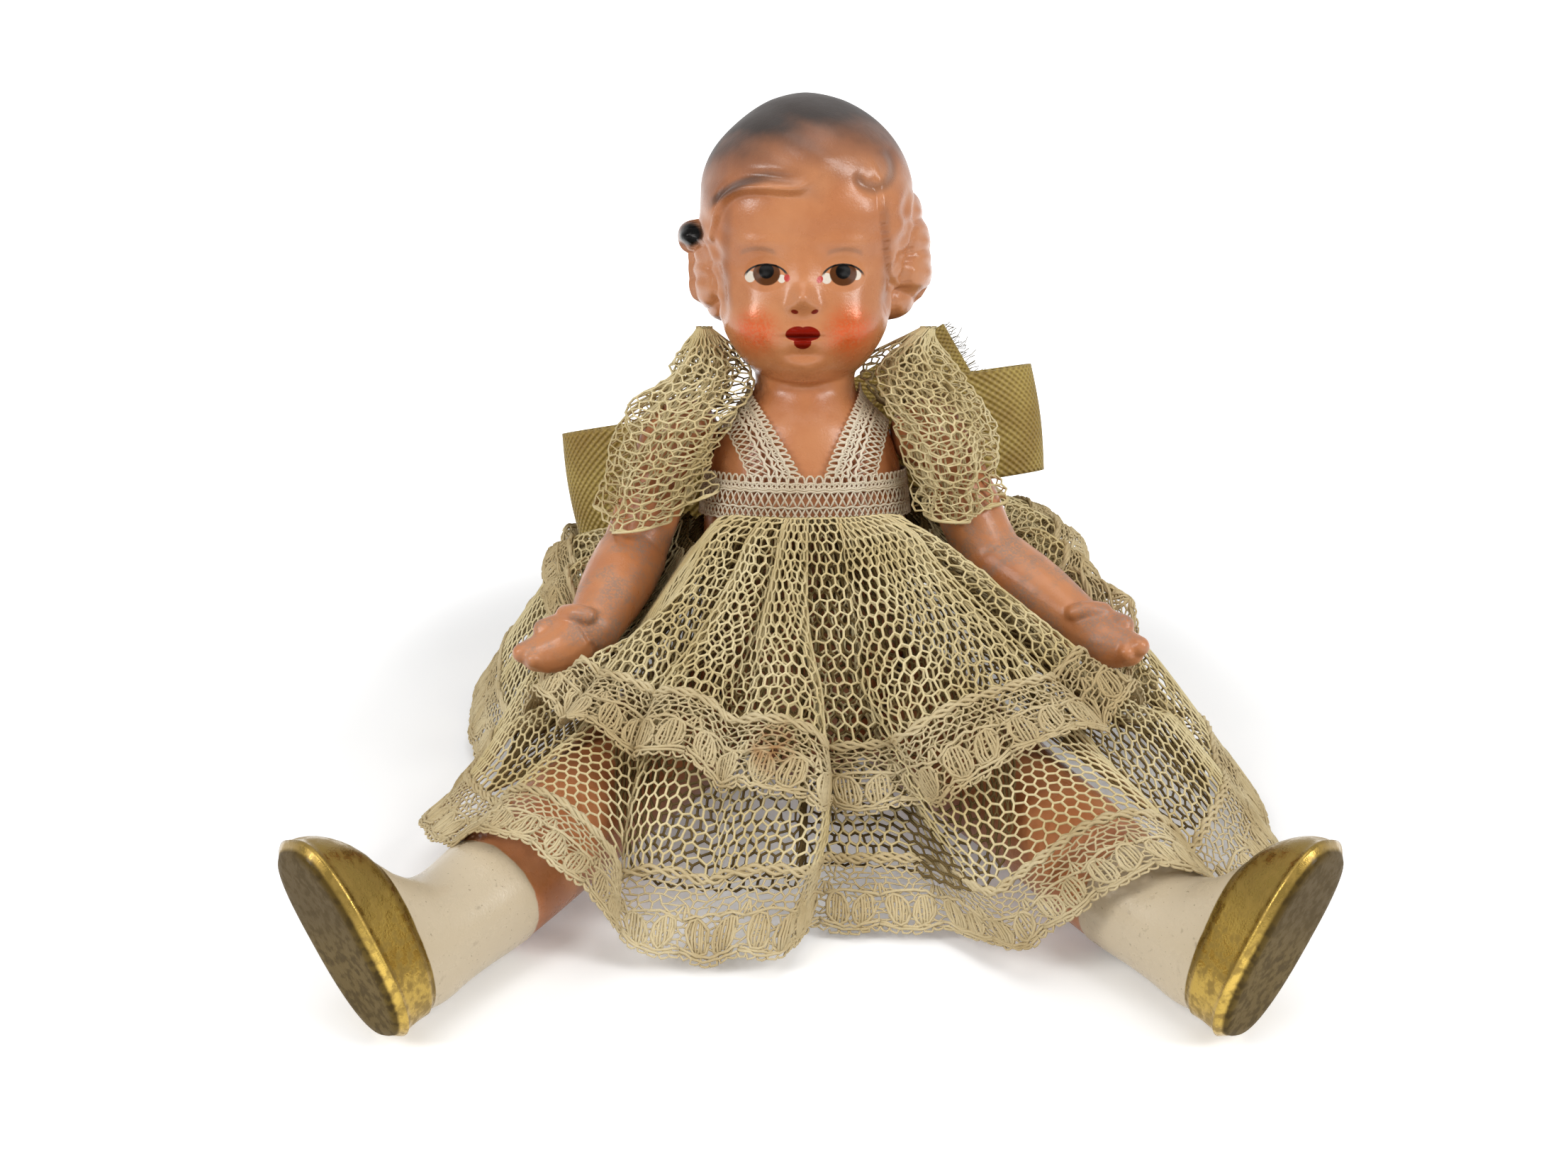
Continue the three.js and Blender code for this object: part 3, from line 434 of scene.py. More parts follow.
def srgb(red: float, green: float, blue: float) -> Colour:
    """A colour given in display values from 0 to 255, as light."""

    def light(value: float) -> float:
        """One channel as light."""
        share = value / 255
        return share / 12.92 if share <= 0.04045 else ((share + 0.055) / 1.055) ** 2.4

    return light(red), light(green), light(blue)


def arithmetic(kind: str) -> Callable[..., "Field"]:
    """A method that lays out one step of arithmetic on a field."""

    def method(self: "Field", *others: "Field | float") -> "Field":
        """The field after the step."""
        return self.board.math(kind, self, *others)

    return method


class Field:
    """A number that varies over a surface; its arithmetic lays out shader nodes."""

    __add__ = __radd__ = arithmetic("ADD")
    __sub__ = arithmetic("SUBTRACT")
    __mul__ = __rmul__ = arithmetic("MULTIPLY")
    over = arithmetic("MAXIMUM")
    size = arithmetic("ABSOLUTE")
    wave = arithmetic("SINE")

    def __init__(self, board: "Board", socket: Socket) -> None:
        self.board = board
        self.socket = socket

    def __rsub__(self, other: float) -> "Field":
        """The difference from a plain number."""
        return self.board.math("SUBTRACT", other, self)

    def ramp(self, low: float, high: float) -> "Field":
        """A smooth rise from 0 at low to 1 at high; a fall where low is the larger."""
        node = self.board.add("ShaderNodeMapRange", interpolation_type="SMOOTHSTEP")
        rising = low < high
        node.inputs[1].default_value = low if rising else high
        node.inputs[2].default_value = high if rising else low
        node.inputs[3].default_value = 0 if rising else 1
        node.inputs[4].default_value = 1 if rising else 0
        self.board.link(self.socket, node.inputs[0])
        return Field(self.board, node.outputs[0])


class Board:
    """The shader nodes of a finish or of the surround, on coordinates in millimetres."""

    def __init__(self, owner: Material | bpy.types.World, shader: str = "Principled BSDF") -> None:
        owner.use_nodes = True
        self.material = owner
        self.tree = owner.node_tree
        self.shader = self.tree.nodes[shader]
        self.vector: Socket | None = None

    @classmethod
    def named(cls, name: str) -> "Board":
        """The nodes of a new material."""
        return cls(bpy.data.materials.new(name))

    def add(self, kind: str, **settings: object) -> bpy.types.Node:
        """Adds a node with its settings."""
        node = self.tree.nodes.new(kind)
        for name, value in settings.items():
            setattr(node, name, value)
        return node

    def link(self, source: Socket, target: Socket) -> None:
        """Joins two sockets."""
        self.tree.links.new(source, target)

    def feed(self, target: Socket, value: "Field | float") -> None:
        """Links a field to a socket, or sets a plain number there."""
        if isinstance(value, Field):
            self.link(value.socket, target)
        else:
            target.default_value = value

    def math(self, kind: str, *values: "Field | float") -> Field:
        """One step of arithmetic."""
        node = self.add("ShaderNodeMath", operation=kind)
        for target, value in zip(node.inputs, values):
            self.feed(target, value)
        return Field(self, node.outputs[0])

    def place(
        self, frame_turn: Array | None = None, centre: Sequence[float] = (0, 0, 0)
    ) -> tuple[Field, Field, Field]:
        """Coordinates on the piece in millimetres, from a place and along axes of its own.

        Args:
            frame_turn: turns the piece's own frame to the model's frame.
            centre: the own frame's origin in the model, in millimetres.

        Returns:
            The three coordinates.
        """
        own = np.eye(3) if frame_turn is None else frame_turn.T
        mapping = self.add("ShaderNodeMapping", vector_type="POINT")
        mapping.inputs["Scale"].default_value = (1 / MM,) * 3
        mapping.inputs["Rotation"].default_value = Matrix(own.tolist()).to_euler("XYZ")
        mapping.inputs["Location"].default_value = tuple(-own @ np.asarray(centre, float))
        self.link(self.add("ShaderNodeTexCoord").outputs["Object"], mapping.inputs["Vector"])
        self.vector = mapping.outputs[0]
        parts = self.add("ShaderNodeSeparateXYZ")
        self.link(self.vector, parts.inputs[0])
        return tuple(Field(self, out) for out in parts.outputs)

    def uv(self) -> tuple[Field, Field]:
        """The piece's own shares across and along."""
        parts = self.add("ShaderNodeSeparateXYZ")
        self.link(self.add("ShaderNodeTexCoord").outputs["UV"], parts.inputs[0])
        return Field(self, parts.outputs[0]), Field(self, parts.outputs[1])

    def noise(self, scale: float, detail: float) -> Field:
        """Cloudy noise, with scale in lumps to the millimetre."""
        node = self.add("ShaderNodeTexNoise")
        for name, value in (("Scale", scale), ("Detail", detail), ("Roughness", 0.55)):
            node.inputs[name].default_value = value
        self.link(self.vector, node.inputs["Vector"])
        return Field(self, node.outputs[0])

    def disc(self, x: Field, z: Field, at: Sequence[float], size: Sequence[float], tilt: float = 0) -> Field:
        """How far out of an oval a place is: 1 on its rim."""
        across, up = x - at[0], z - at[1]
        if tilt:
            c, s = math.cos(tilt), math.sin(tilt)
            across, up = across * c + up * s, up * c - across * s
        across, up = across * (1 / size[0]), up * (1 / size[1])
        return self.math("SQRT", across * across + up * up)

    def spot(
        self, x: Field, z: Field, at: Sequence[float], size: Sequence[float],
        soft: float = 0.1, tilt: float = 0,
    ) -> Field:
        """A painted oval with a soft rim."""
        return self.disc(x, z, at, size, tilt).ramp(1 + soft, 1 - soft)

    def mix(self, share: "Field | float", low: "Colour | Socket", high: "Colour | Socket") -> Socket:
        """One colour over another.

        Args:
            share: how much of the upper colour shows.
            low: the colour or socket beneath.
            high: the colour or socket on top.

        Returns:
            The mixed colour's socket.
        """
        node = self.add("ShaderNodeMix", data_type="RGBA")
        self.feed(node.inputs[0], share)
        for target, value in ((node.inputs[6], low), (node.inputs[7], high)):
            if isinstance(value, tuple):
                target.default_value = (*value, 1)
            else:
                self.link(value, target)
        return node.outputs[2]

    def seen(self) -> Field:
        """1 where the camera looks, straight, in a reflection or through something clear."""
        path = self.add("ShaderNodeLightPath")
        rays = ("Camera", "Glossy", "Transmission")
        return reduce(Field.over, [Field(self, path.outputs[f"Is {ray} Ray"]) for ray in rays])

    def bump(self, height: Field, depth: float) -> None:
        """Raises the surface by a field, depth in millimetres."""
        node = self.add("ShaderNodeBump")
        node.inputs["Distance"].default_value = depth * MM
        node.inputs["Strength"].default_value = 1
        self.link(height.socket, node.inputs["Height"])
        self.link(node.outputs[0], self.shader.inputs["Normal"])

    def fix(self, socket: str, value: float) -> None:
        """Sets a constant on one of the shader's own sockets."""
        self.shader.inputs[socket].default_value = value

    def finish(
        self, colour: Socket, roughness: "Field | float", metallic: "Field | float" = 0.0
    ) -> Material:
        """Gives the shader its colour, roughness and metal."""
        self.link(colour, self.shader.inputs["Base Color"])
        self.feed(self.shader.inputs["Roughness"], roughness)
        self.feed(self.shader.inputs["Metallic"], metallic)
        return self.material


# Finishes


@dataclass(frozen=True)
class FleshPaint:
    """Lacquered flesh paint on composition, with its wear."""

    flesh: Colour = srgb(191, 127, 83)
    deep: Colour = srgb(178, 111, 67)
    speck: Colour = srgb(92, 66, 48)

    def ground(self, board: Board) -> Socket:
        """The flesh colour with soft clouds and fine specks."""
        clouds = board.noise(0.12, 3).ramp(0.35, 0.7)
        colour = board.mix(clouds, self.flesh, self.deep)
        specks = board.noise(1.7, 2).ramp(0.75, 0.8) * board.noise(0.3, 1).ramp(0.45, 0.6)
        return board.mix(specks * 0.6, colour, self.speck)

    def gloss(self, board: Board) -> Field:
        """Roughness of the old lacquer, and its pebbled skin."""
        grain = board.noise(3.2, 2)
        board.bump(grain + board.noise(0.7, 2) * 1.2, 0.03)
        board.fix("Specular IOR Level", 0.36)
        board.fix("Coat Weight", 0.1)
        board.fix("Coat Roughness", 0.2)
        return board.noise(0.35, 4) * 0.17 + 0.2


# The forelock that curls over: its middle and half sizes across and up the head
HOOK_AT = (9.4, 88.6)
HOOK_SIZE = (2.7, 2.9)


def hair_phase(x: Array | Field, z: Array | Field, sine: Callable) -> Array | Field:
    """Phase of the waves in the hair, on numbers for the relief or on fields for the paint."""
    return z * 1.05 + x * 0.4 + sine(x * 0.2) * 1.6


@dataclass(frozen=True)
class HeadPaint(FleshPaint):
    """Flesh paint with the face and the airbrushed hair; places are across and up the head."""

    crown: Colour = srgb(38, 27, 21)
    brown: Colour = srgb(118, 72, 48)
    lip: Colour = srgb(112, 14, 0)
    blush: Colour = srgb(200, 76, 0)
    iris: Colour = srgb(84, 48, 22)
    black: Colour = srgb(8, 6, 5)
    white: Colour = srgb(214, 202, 186)
    red: Colour = srgb(176, 46, 34)
    brow: Colour = srgb(150, 104, 76)
    knob_at: Flat = (-17.0, 79.7)
    knob_size: Flat = (2.2, 1.9)
    cheeks: tuple[tuple[Flat, float], ...] = (((-7.2, 65.9), 4.8), ((6.3, 65.8), 5.3))
    cheek_dull: float = 0.2
    brows: tuple[Flat, ...] = ((-6.8, 74.3), (5.4, 74.2))
    brow_size: Flat = (4.4, 3.15)
    brow_reach: float = 3.6
    whites: tuple[tuple[Flat, float], ...] = (
        ((-7.9, 73.6), 0.75), ((-3.45, 73.3), 0.55), ((2.85, 73.35), 0.72), ((7.1, 73.8), 0.65),
    )
    irises: tuple[Flat, ...] = ((-5.57, 74.05), (5.2, 74.0))
    iris_size: Flat = (1.92, 1.68)
    pupil_off: Flat = (-0.02, 0.3)
    pupil_size: Flat = (1.06, 1.04)
    lids: tuple[tuple[Flat, Flat], ...] = (((-5.65, 73.2), (3.1, 2.1)), ((5.2, 73.2), (3.0, 2.1)))
    corners: tuple[tuple[Flat, float], ...] = (((-2.7, 73.4), 0.0), ((1.9, 73.2), -0.6))
    corner_size: Flat = (0.42, 0.52)
    nostrils: tuple[tuple[Flat, float], ...] = (((-1.63, 68.75), -0.25), ((1.2, 68.75), 0.35))
    nostril_size: Flat = (0.52, 0.3)
    lips: tuple[tuple[Flat, Flat, float, float], ...] = (
        ((-1.45, 65.75), (1.5, 0.95), 0.07, 0.2), ((0.5, 65.75), (1.5, 0.95), 0.07, -0.2),
        ((-0.5, 65.25), (2.15, 0.72), 0.08, 0), ((-0.5, 64.5), (1.25, 0.98), 0.08, 0),
    )
    eyes: tuple[Flat, ...] = ((-5.6, 74.0), (5.2, 74.0))
    eye_size: Flat = (3.3, 2.6)

    def material(self) -> Material:
        """The painted head and body."""
        board = Board.named("painted_head")
        x, y, z = board.place(POSTURE.leaning())
        colour = self.ground(board)
        colour, knob, matt = self.hair(board, colour, x, y, z)
        front = y.ramp(-2, -5) * z.ramp(57, 58)
        colour, painted, dull = self.face(board, colour, x, z, front)
        roughness = (self.gloss(board) + matt * 0.25).over(painted * 0.8)
        return board.finish(colour, roughness, dull.over(knob * 0.9))

    def hair(
        self, board: Board, colour: Socket, x: Field, y: Field, z: Field
    ) -> tuple[Socket, Field, Field]:
        """Airbrushed brown, darkest at the crown, thin where the waves stand up, and the black knob, with
        painted shade in the creases beside the curls, above the forehead's ridge and round the forelock.

        Returns:
            The colour with the hair on it, where the knob is, and where the paint is dull.
        """
        cloud = board.noise(0.2, 3) - 0.5
        level = z + x * -0.14 + y * 0.2 + cloud * 5
        waves = hair_phase(x, z, Field.wave).wave() * 1.1
        colour = board.mix((level + waves).ramp(80.5, 88) * 0.68, colour, self.brown)
        dark = (level + waves * 0.8).ramp(86, 94)
        colour = board.mix(dark, colour, self.crown)
        # Painted shade: brown in the creases where the face meets the side curls.
        crease = (x.size() - 11.5 + (z - 75).size() * 0.06).size().ramp(1.2, 0.1)
        crease = crease * z.ramp(68, 71) * z.ramp(85, 82)
        colour = board.mix(crease * y.ramp(0, -4) * 0.4, colour, self.brown)
        # Painted shadow: a dark line in the groove above the hair's ridge, over the forehead on the doll's
        # right.
        bend = (x + 5) * (x + 5)
        ridge_shadow = (z - 87.1 + bend * 0.045).size().ramp(1.2, 0.2) * x.ramp(-0.5, -8) * x.ramp(-14.5, -12.5)
        colour = board.mix(ridge_shadow * y.ramp(-2, -5) * 0.75, colour, self.crown)
        # Painted shade: darker along the groove that curls round the forelock.
        hook = (board.disc(x, z, HOOK_AT, HOOK_SIZE) - 1).size().ramp(0.45, 0.05)
        hook = hook * (x - z + (HOOK_AT[1] - HOOK_AT[0])).ramp(-2.5, 0) * y.ramp(0, -3)
        colour = board.mix(hook * 0.42, colour, self.crown)
        behind = (y + x.size() * -0.25).ramp(0.5, 6) * z.ramp(66, 70)
        colour = board.mix(behind * 0.75, colour, self.crown)
        knob = board.spot(x, z, self.knob_at, self.knob_size, 0.35) * y.ramp(2, -3)
        return board.mix(knob, colour, self.black), knob, dark

    def face(
        self, board: Board, colour: Socket, x: Field, z: Field, front: Field
    ) -> tuple[Socket, Field, Field]:
        """Brows, eyes, nostrils, lips and blushed cheeks.

        Args:
            board: the nodes.
            colour: the colour beneath.
            x: places across the head.
            z: places up the head.
            front: 1 on the face's side of the head.

        Returns:
            The colour with the face on it, where its rough paint lies, and where it gives no white gleam.
        """
        speckle = board.noise(2.6, 2).ramp(0.35, 0.62) * 0.5 + 0.5
        dulls = []
        for at, size in self.cheeks:
            cheek = board.disc(x, z, at, (size, size)).ramp(1, 0.15)
            colour = board.mix(cheek * speckle * front * 0.92, colour, self.blush)
            dulls.append(cheek * self.cheek_dull)
        for at in self.brows:
            ring = (board.disc(x, z, at, self.brow_size) - 1).size().ramp(0.16, 0.03)
            ends = (x - at[0]).size().ramp(self.brow_reach * 0.8, self.brow_reach * 0.55)
            colour = board.mix(ring * ends * z.ramp(75.5, 76) * front * 0.62, colour, self.brow)
        for at, size in self.whites:
            colour = board.mix(board.spot(x, z, at, (size, size * 1.05)) * front, colour, self.white)
        for at in self.irises:
            iris = board.spot(x, z, at, self.iris_size, 0.06) * z.ramp(75.35, 75.2) * front
            colour = board.mix(iris, colour, self.iris)
            middle = (at[0] + self.pupil_off[0], at[1] + self.pupil_off[1])
            pupil = board.spot(x, z, middle, self.pupil_size, 0.09) * front
            colour = board.mix(pupil, colour, self.black)
            dulls += [iris, pupil]
        for at, size in self.lids:
            ring = (board.disc(x, z, at, size) - 1).size().ramp(0.085, 0.03)
            colour = board.mix(ring * z.ramp(73.5, 74.3) * front, colour, self.black)
        for at, tilt in self.corners:
            colour = board.mix(board.spot(x, z, at, self.corner_size, 0.15, tilt) * front, colour, self.red)
        for at, tilt in self.nostrils:
            colour = board.mix(board.spot(x, z, at, self.nostril_size, 0.2, tilt) * front, colour, self.lip)
        lips = reduce(Field.over, [board.spot(x, z, *lip) for lip in self.lips])
        shade = (z - 65.15 + (x + 0.5) * (x + 0.5) * -0.03).size().ramp(0.22, 0.05) * 0.5
        eyes = reduce(Field.over, [board.spot(x, z, at, self.eye_size) for at in self.eyes])
        colour = board.mix(lips * front, colour, board.mix(shade, self.lip, self.black))
        return colour, eyes.over(lips * 0.8) * front, reduce(Field.over, dulls).over(lips * front)


@dataclass(frozen=True)
class ArmPaint(FleshPaint):
    """Flesh paint with the grey rubbed patches of the forearms."""

    side: Side = Side.LEFT
    scuff: Colour = srgb(136, 116, 102)

    def material(self) -> Material:
        """The painted arm."""
        board = Board.named(f"painted_{self.side.word}_arm")
        *_, z = board.place(POSTURE.leaning())
        colour = self.ground(board)
        worn = board.noise(0.22, 4).ramp(0.4, 0.6) * z.ramp(41, 36) * z.ramp(18, 24)
        grain = board.noise(3.0, 3).ramp(0.3, 0.6)
        colour = board.mix(worn * grain * 0.75, colour, self.scuff)
        return board.finish(colour, self.gloss(board) + worn * 0.2)


@dataclass(frozen=True)
class LegPaint(FleshPaint):
    """Flesh paint, a cream sock and a gold slipper with worn, dark edges, and the sole painted dark as
    painted shade.
    """

    side: Side = Side.LEFT
    sock: Colour = srgb(200, 184, 156)
    grime: Colour = srgb(120, 104, 80)
    gold: Colour = srgb(186, 156, 76)
    dark_gold: Colour = srgb(104, 82, 36)
    # The sole colour is the slipper's gold painted dark: painted shade on its underside.
    sole: Colour = srgb(62, 47, 16)

    def material(self) -> Material:
        """The painted leg."""
        board = Board.named(f"painted_{self.side.word}_leg")
        whole = POSTURE.leaning() @ POSTURE.leg_turn(self.side)
        x, y, z = board.place(whole, POSTURE.lean(POSTURE.at_hip(self.side)))
        height = z + LEG_LONG
        colour = self.ground(board)
        edge = board.noise(0.25, 2) - 0.5
        sock = (height + edge * 0.8).ramp(24.2, 23.8)
        colour = board.mix(sock, colour, self.sock)
        dirt = board.noise(0.9, 3).ramp(0.6, 0.72) * board.noise(0.14, 2).ramp(0.42, 0.6)
        scratch = board.noise(2.2, 1).ramp(0.72, 0.76)
        colour = board.mix(sock * (dirt * 0.35 + scratch * 0.5), colour, self.grime)
        shoe = (height + y * 0.09 + edge * 0.3).ramp(6.5, 6.25)
        wear = board.noise(0.8, 5).ramp(0.42, 0.62)
        rim = (height + y * 0.09).ramp(5.0, 6.3) * 0.7
        # Painted shade: the underside of the sole takes the dark sole colour.
        under = (height - x * (self.side.value * LegShape.sole_tilt)).ramp(0.9, 0.4)
        # The gold is darker where it is worn and towards the toe, and it is edged dark just below the
        # slipper's top.
        gold = board.mix((wear * 0.6).over(y.ramp(-4, -13) * 0.7), self.gold, self.dark_gold)
        gold = board.mix(rim, gold, self.dark_gold)
        gold = board.mix(under * 0.85, gold, self.sole)
        colour = board.mix(shoe, colour, gold)
        metal = shoe * (0.95 - wear * 0.15)
        roughness = self.gloss(board) * (1 - shoe * 0.2) + wear * shoe * 0.25 + shoe * under * 0.5
        return board.finish(colour, roughness, metal)


@dataclass(frozen=True)
class Cotton:
    """Old cotton thread, with the shade changing from strand to strand."""

    name: str
    pale: Colour
    dark: Colour
    stain: Colour = srgb(150, 98, 44)
    stains: tuple[Row, ...] = ()

    def material(self) -> Material:
        """The thread, with each stain given by its place and its size in millimetres."""
        board = Board.named(self.name)
        x, y, z = board.place()
        colour = board.mix(board.noise(0.09, 4).ramp(0.3, 0.7), self.pale, self.dark)
        fibre = board.noise(5.5, 3)
        colour = board.mix(fibre.ramp(0.45, 0.75) * 0.35, colour, self.dark)
        for sx, sy, sz, size in self.stains:
            far = board.math("SQRT", (x - sx) * (x - sx) + (y - sy) * (y - sy) + (z - sz) * (z - sz))
            spread = (far + board.noise(0.5, 3) * size * 1.4).ramp(size * 1.5, size * 0.7)
            colour = board.mix(spread * 0.75, colour, self.stain)
        board.bump(fibre, 0.06)
        board.fix("Specular IOR Level", 0.2)
        return board.finish(colour, 0.9)


@dataclass(frozen=True)
class RibbonSilk:
    """Basket-woven ribbon, yellowed, with a faint sheen."""

    pale: Colour = srgb(176, 152, 74)
    deep: Colour = srgb(140, 110, 34)
    shade: Colour = srgb(112, 86, 24)
    beads: float = 15

    def material(self, name: str, ribs: float) -> Material:
        """The ribbon, woven in small beads, with a number of them along its length."""
        board = Board.named(name)
        board.place()
        across, along = board.uv()
        beads = (along * (math.tau * ribs)).wave() * (across * (math.tau * self.beads)).wave()
        clouds = board.noise(0.12, 4).ramp(0.3, 0.75)
        colour = board.mix(clouds, self.pale, self.deep)
        colour = board.mix(beads.ramp(0.3, -0.8) * 0.55, colour, self.shade)
        board.bump(beads, 0.12)
        board.fix("Sheen Weight", 0.15)
        return board.finish(colour, board.noise(0.3, 3) * 0.2 + 0.42)


@dataclass(frozen=True)
class PlainFinish:
    """The hidden stringing: wire or elastic, with its grain."""

    name: str
    pale: Colour
    dark: Colour
    roughness: float
    metallic: float

    def material(self) -> Material:
        """The finish."""
        board = Board.named(self.name)
        board.place()
        grain = board.noise(1.5, 4)
        board.bump(grain, 0.04)
        colour = board.mix(grain.ramp(0.3, 0.7), self.pale, self.dark)
        return board.finish(colour, grain * 0.2 + self.roughness, self.metallic)


NET_THREAD = Cotton("cotton_net", srgb(228, 213, 170), srgb(202, 182, 132))
HEM_STAIN = (-4.6, -42.0, 24.5, 5.5)
LACE_THREAD = Cotton("cotton_lace", srgb(212, 196, 158), srgb(184, 163, 121), stains=(HEM_STAIN,))
# Painted shade: the folds gathered inside the skirt take the net's thread painted darker.
SHADED_INNER_THREAD = Cotton("shaded_inner_net", srgb(132, 112, 72), srgb(92, 74, 40))
BAND_THREAD = Cotton("band_lace", srgb(222, 210, 188), srgb(196, 178, 150))


def settle(
    obj: Piece, material: Material, body: str | None, slot: Slot, *nodes: str
) -> None:
    """Gives a finished piece its finish and body, and hides the nodes it stands for.

    Args:
        obj: the piece.
        material: its finish.
        body: the body it rides on, or None, where it is attached to none.
        slot: its material slot, not used.
        nodes: CAD nodes that it replaces.
    """
    obj.data.materials.clear()
    obj.data.materials.append(material)
    if body:
        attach(obj, body)
    if nodes:
        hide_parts(*nodes)
    LOG.info("%s: %d faces, on %s", obj.name, len(obj.data.polygons), body or "two bodies")


# Castings


@dataclass
class HeadAndBody:
    """Head, neck and body in one casting, in the upright body's frame."""

    levels: Row = (-2.2, 3, 11, 20, 30, 38, 44, 48.5, 52, 54.5, 57, 65)
    half_widths: Row = (7.5, 14, 16.2, 16, 15.6, 15.2, 14.6, 13.8, 12, 9.4, 7.6, 7.2)
    half_depths: Row = (7, 11.8, 13.4, 13.6, 13, 12.2, 11.4, 10.6, 9.6, 8.4, 7.5, 7.2)
    head_levels: Row = (58.4, 60.6, 63.2, 67, 72, 77, 82, 86.6)
    head_wide: Row = (4.6, 8.5, 10.5, 12.2, 13.3, 14.5, 15.5, 15.7)
    head_front: Row = (9.6, 12.7, 14.5, 15.3, 15.5, 15.3, 16.1, 16.2)
    head_back: Row = (5.2, 7.3, 9.1, 12.1, 15.7, 17.7, 18.3, 18)
    # Curls at the sides: across, up, radius
    curls: tuple[Place, ...] = (
        (13.3, 82.8, 3.0), (14.2, 78.6, 3.6), (14.2, 74.2, 3.9), (13, 70.6, 3.2),
        (-15.8, 79.5, 2.3), (-13.1, 76.6, 3.5), (-12.8, 72.6, 3.7), (-12, 69.8, 2.6),
    )
    # How far the upper head draws in from that half width, on the left and on the right
    trim_levels: Row = (79, 83, 87, 92, 97, 101)
    trims: tuple[Row, Row] = ((0, 0.2, 0.7, 1.0, 0.9, 0.6), (0, 0.8, 1.1, 1.5, 2.2, 1.6))
    # The hair's edge over the face, from the right to the left
    hair_across: Row = (-13.2, -12.2, -11, -9, -6, -1, 3, 6, 8.5, 10, 10.8, 11.4, 13)
    hair_levels: Row = (78.5, 81.6, 83.8, 85, 85.2, 85.0, 86.6, 88.2, 88, 85.5, 80, 75, 72)
    face_middle: float = -0.45
    # Modelled features, in pairs beside the face's middle and then single: height, across, up, wide, tall
    nostril: Row = (0.55, 1.5, 69.5, 0.8, 0.8)
    cheek: Row = (1.15, 7.6, 66.6, 4.2, 3.8)
    eye_socket: Row = (-0.85, 5.3, 74.5, 3.0, 1.9)
    eye: Row = (0.6, 5.4, 74.0, 1.9, 1.25)
    brow_ridge: Row = (0.35, 6.2, 78.2, 3.8, 1.1)
    nose: Row = (2.1, 0, 70.6, 1.45, 1.6)
    bridge: Row = (0.4, 0, 73.4, 2.1, 3.0)
    upper_lip: Row = (0.7, 0, 65.9, 2.2, 0.8)
    lower_lip: Row = (0.75, 0, 64.3, 1.5, 0.8)
    mouth_line: Row = (-0.45, 0, 65.15, 2.3, 0.28)
    chin_groove: Row = (-0.5, 0, 62.6, 2.4, 0.7)
    chin_ball: Row = (0.9, 0, 60.5, 3.2, 1.9)
    lip_groove: Row = (-0.2, 0, 67.6, 0.6, 0.7)
    chin: float = 57.2
    chin_round: float = 1.6
    neck_top: float = 64
    neck_blend: Row = (54, 57, 60, 64)
    head_only: float = 66
    top: float = 100.0
    crown_close: float = 0.62
    flat_face: float = 0.5
    curl_stretch: float = 1.7
    curl_blend: float = 2.4
    socket: float = 5.75
    grid: tuple[int, int] = (264, 340)
    row_shares: Row = (0, 0.16, 0.3, 0.88, 1)
    row_levels: Row = (42, 56, 97)

    def __post_init__(self) -> None:
        self.wide = Profile(self.levels, self.half_widths)
        self.deep = Profile(self.levels, self.half_depths)
        self.skull = Profile(self.head_levels, self.head_wide)
        self.brow = Profile(self.head_levels, self.head_front)
        self.nape = Profile(self.head_levels, self.head_back)
        self.hairline = Profile(self.hair_across, self.hair_levels)

    def reach(self, aim: Array, z: Array) -> Array:
        """How far the casting's smooth form reaches from its middle line."""

        def oval(wide: Array, deep: Array) -> Array:
            """Reach of an oval section."""
            return 1 / np.sqrt((np.sin(aim) / wide) ** 2 + (np.cos(aim) / deep) ** 2)

        body = oval(self.wide(z), self.deep(z)) * np.where(z > self.neck_top, 0.8, 1)
        jaw = np.sqrt(np.clip((z - self.chin) / self.chin_round, 1e-6, 1))
        depth = np.where(np.cos(aim) > 0, self.brow(z), self.nape(z))
        left, right = (Profile(self.trim_levels, trim)(z) for trim in self.trims)
        half = self.skull(z) - np.where(np.sin(aim) > 0, left, right)
        square = 2 + self.flat_face * step(z, 60, 64) * step(-z, -90, -82) * (np.cos(aim) > 0)
        head = (np.abs(np.sin(aim)) / half) ** square + (np.abs(np.cos(aim)) / depth) ** square
        head = head ** (-1 / square) * jaw * self.crown(z)
        low, full, ease, end = self.neck_blend
        seam = step(z, low, full) * step(-z, -end, -ease)
        out = np.where(z > self.head_only, head, higher(body, head, seam))
        for x, level, r in self.curls:
            curl = self.curl_reach(aim, z, x, level, r)
            seam = np.maximum(self.curl_blend - np.abs(out - curl), 0)
            out = np.where(curl > 0, np.maximum(out, curl) + seam**2 / (4 * self.curl_blend), out)
        return out

    def laced(self, z: Array | float) -> tuple[Array, Array]:
        """Half width and half depth of lace that lies on the body."""
        grow = FIT + LACE / 2
        return self.wide(z) + grow, self.deep(z) + grow

    def crown(self, z: Array) -> Array:
        """How far the crown has drawn in towards its top, as a share."""
        start = self.head_levels[-1]
        climb = np.clip((z - start) / (self.top - start), 0, 1)
        return (1 - climb**2) ** self.crown_close

    def curl_reach(self, aim: Array, z: Array, x: float, level: float, r: float) -> Array:
        """How far a curl at the side reaches from the middle line, 0 where it is missed."""
        rise = 1 - ((z - level) / r) ** 2
        stretch = r * self.curl_stretch
        a = (np.sin(aim) / r) ** 2 + (np.cos(aim) / stretch) ** 2
        b = -2 * x * np.sin(aim) / r**2
        c = (x / r) ** 2 - rise
        root = b * b - 4 * a * c
        return np.where((root > 0) & (np.sin(aim) * x > 0), (-b + np.sqrt(np.maximum(root, 0))) / (2 * a), 0)

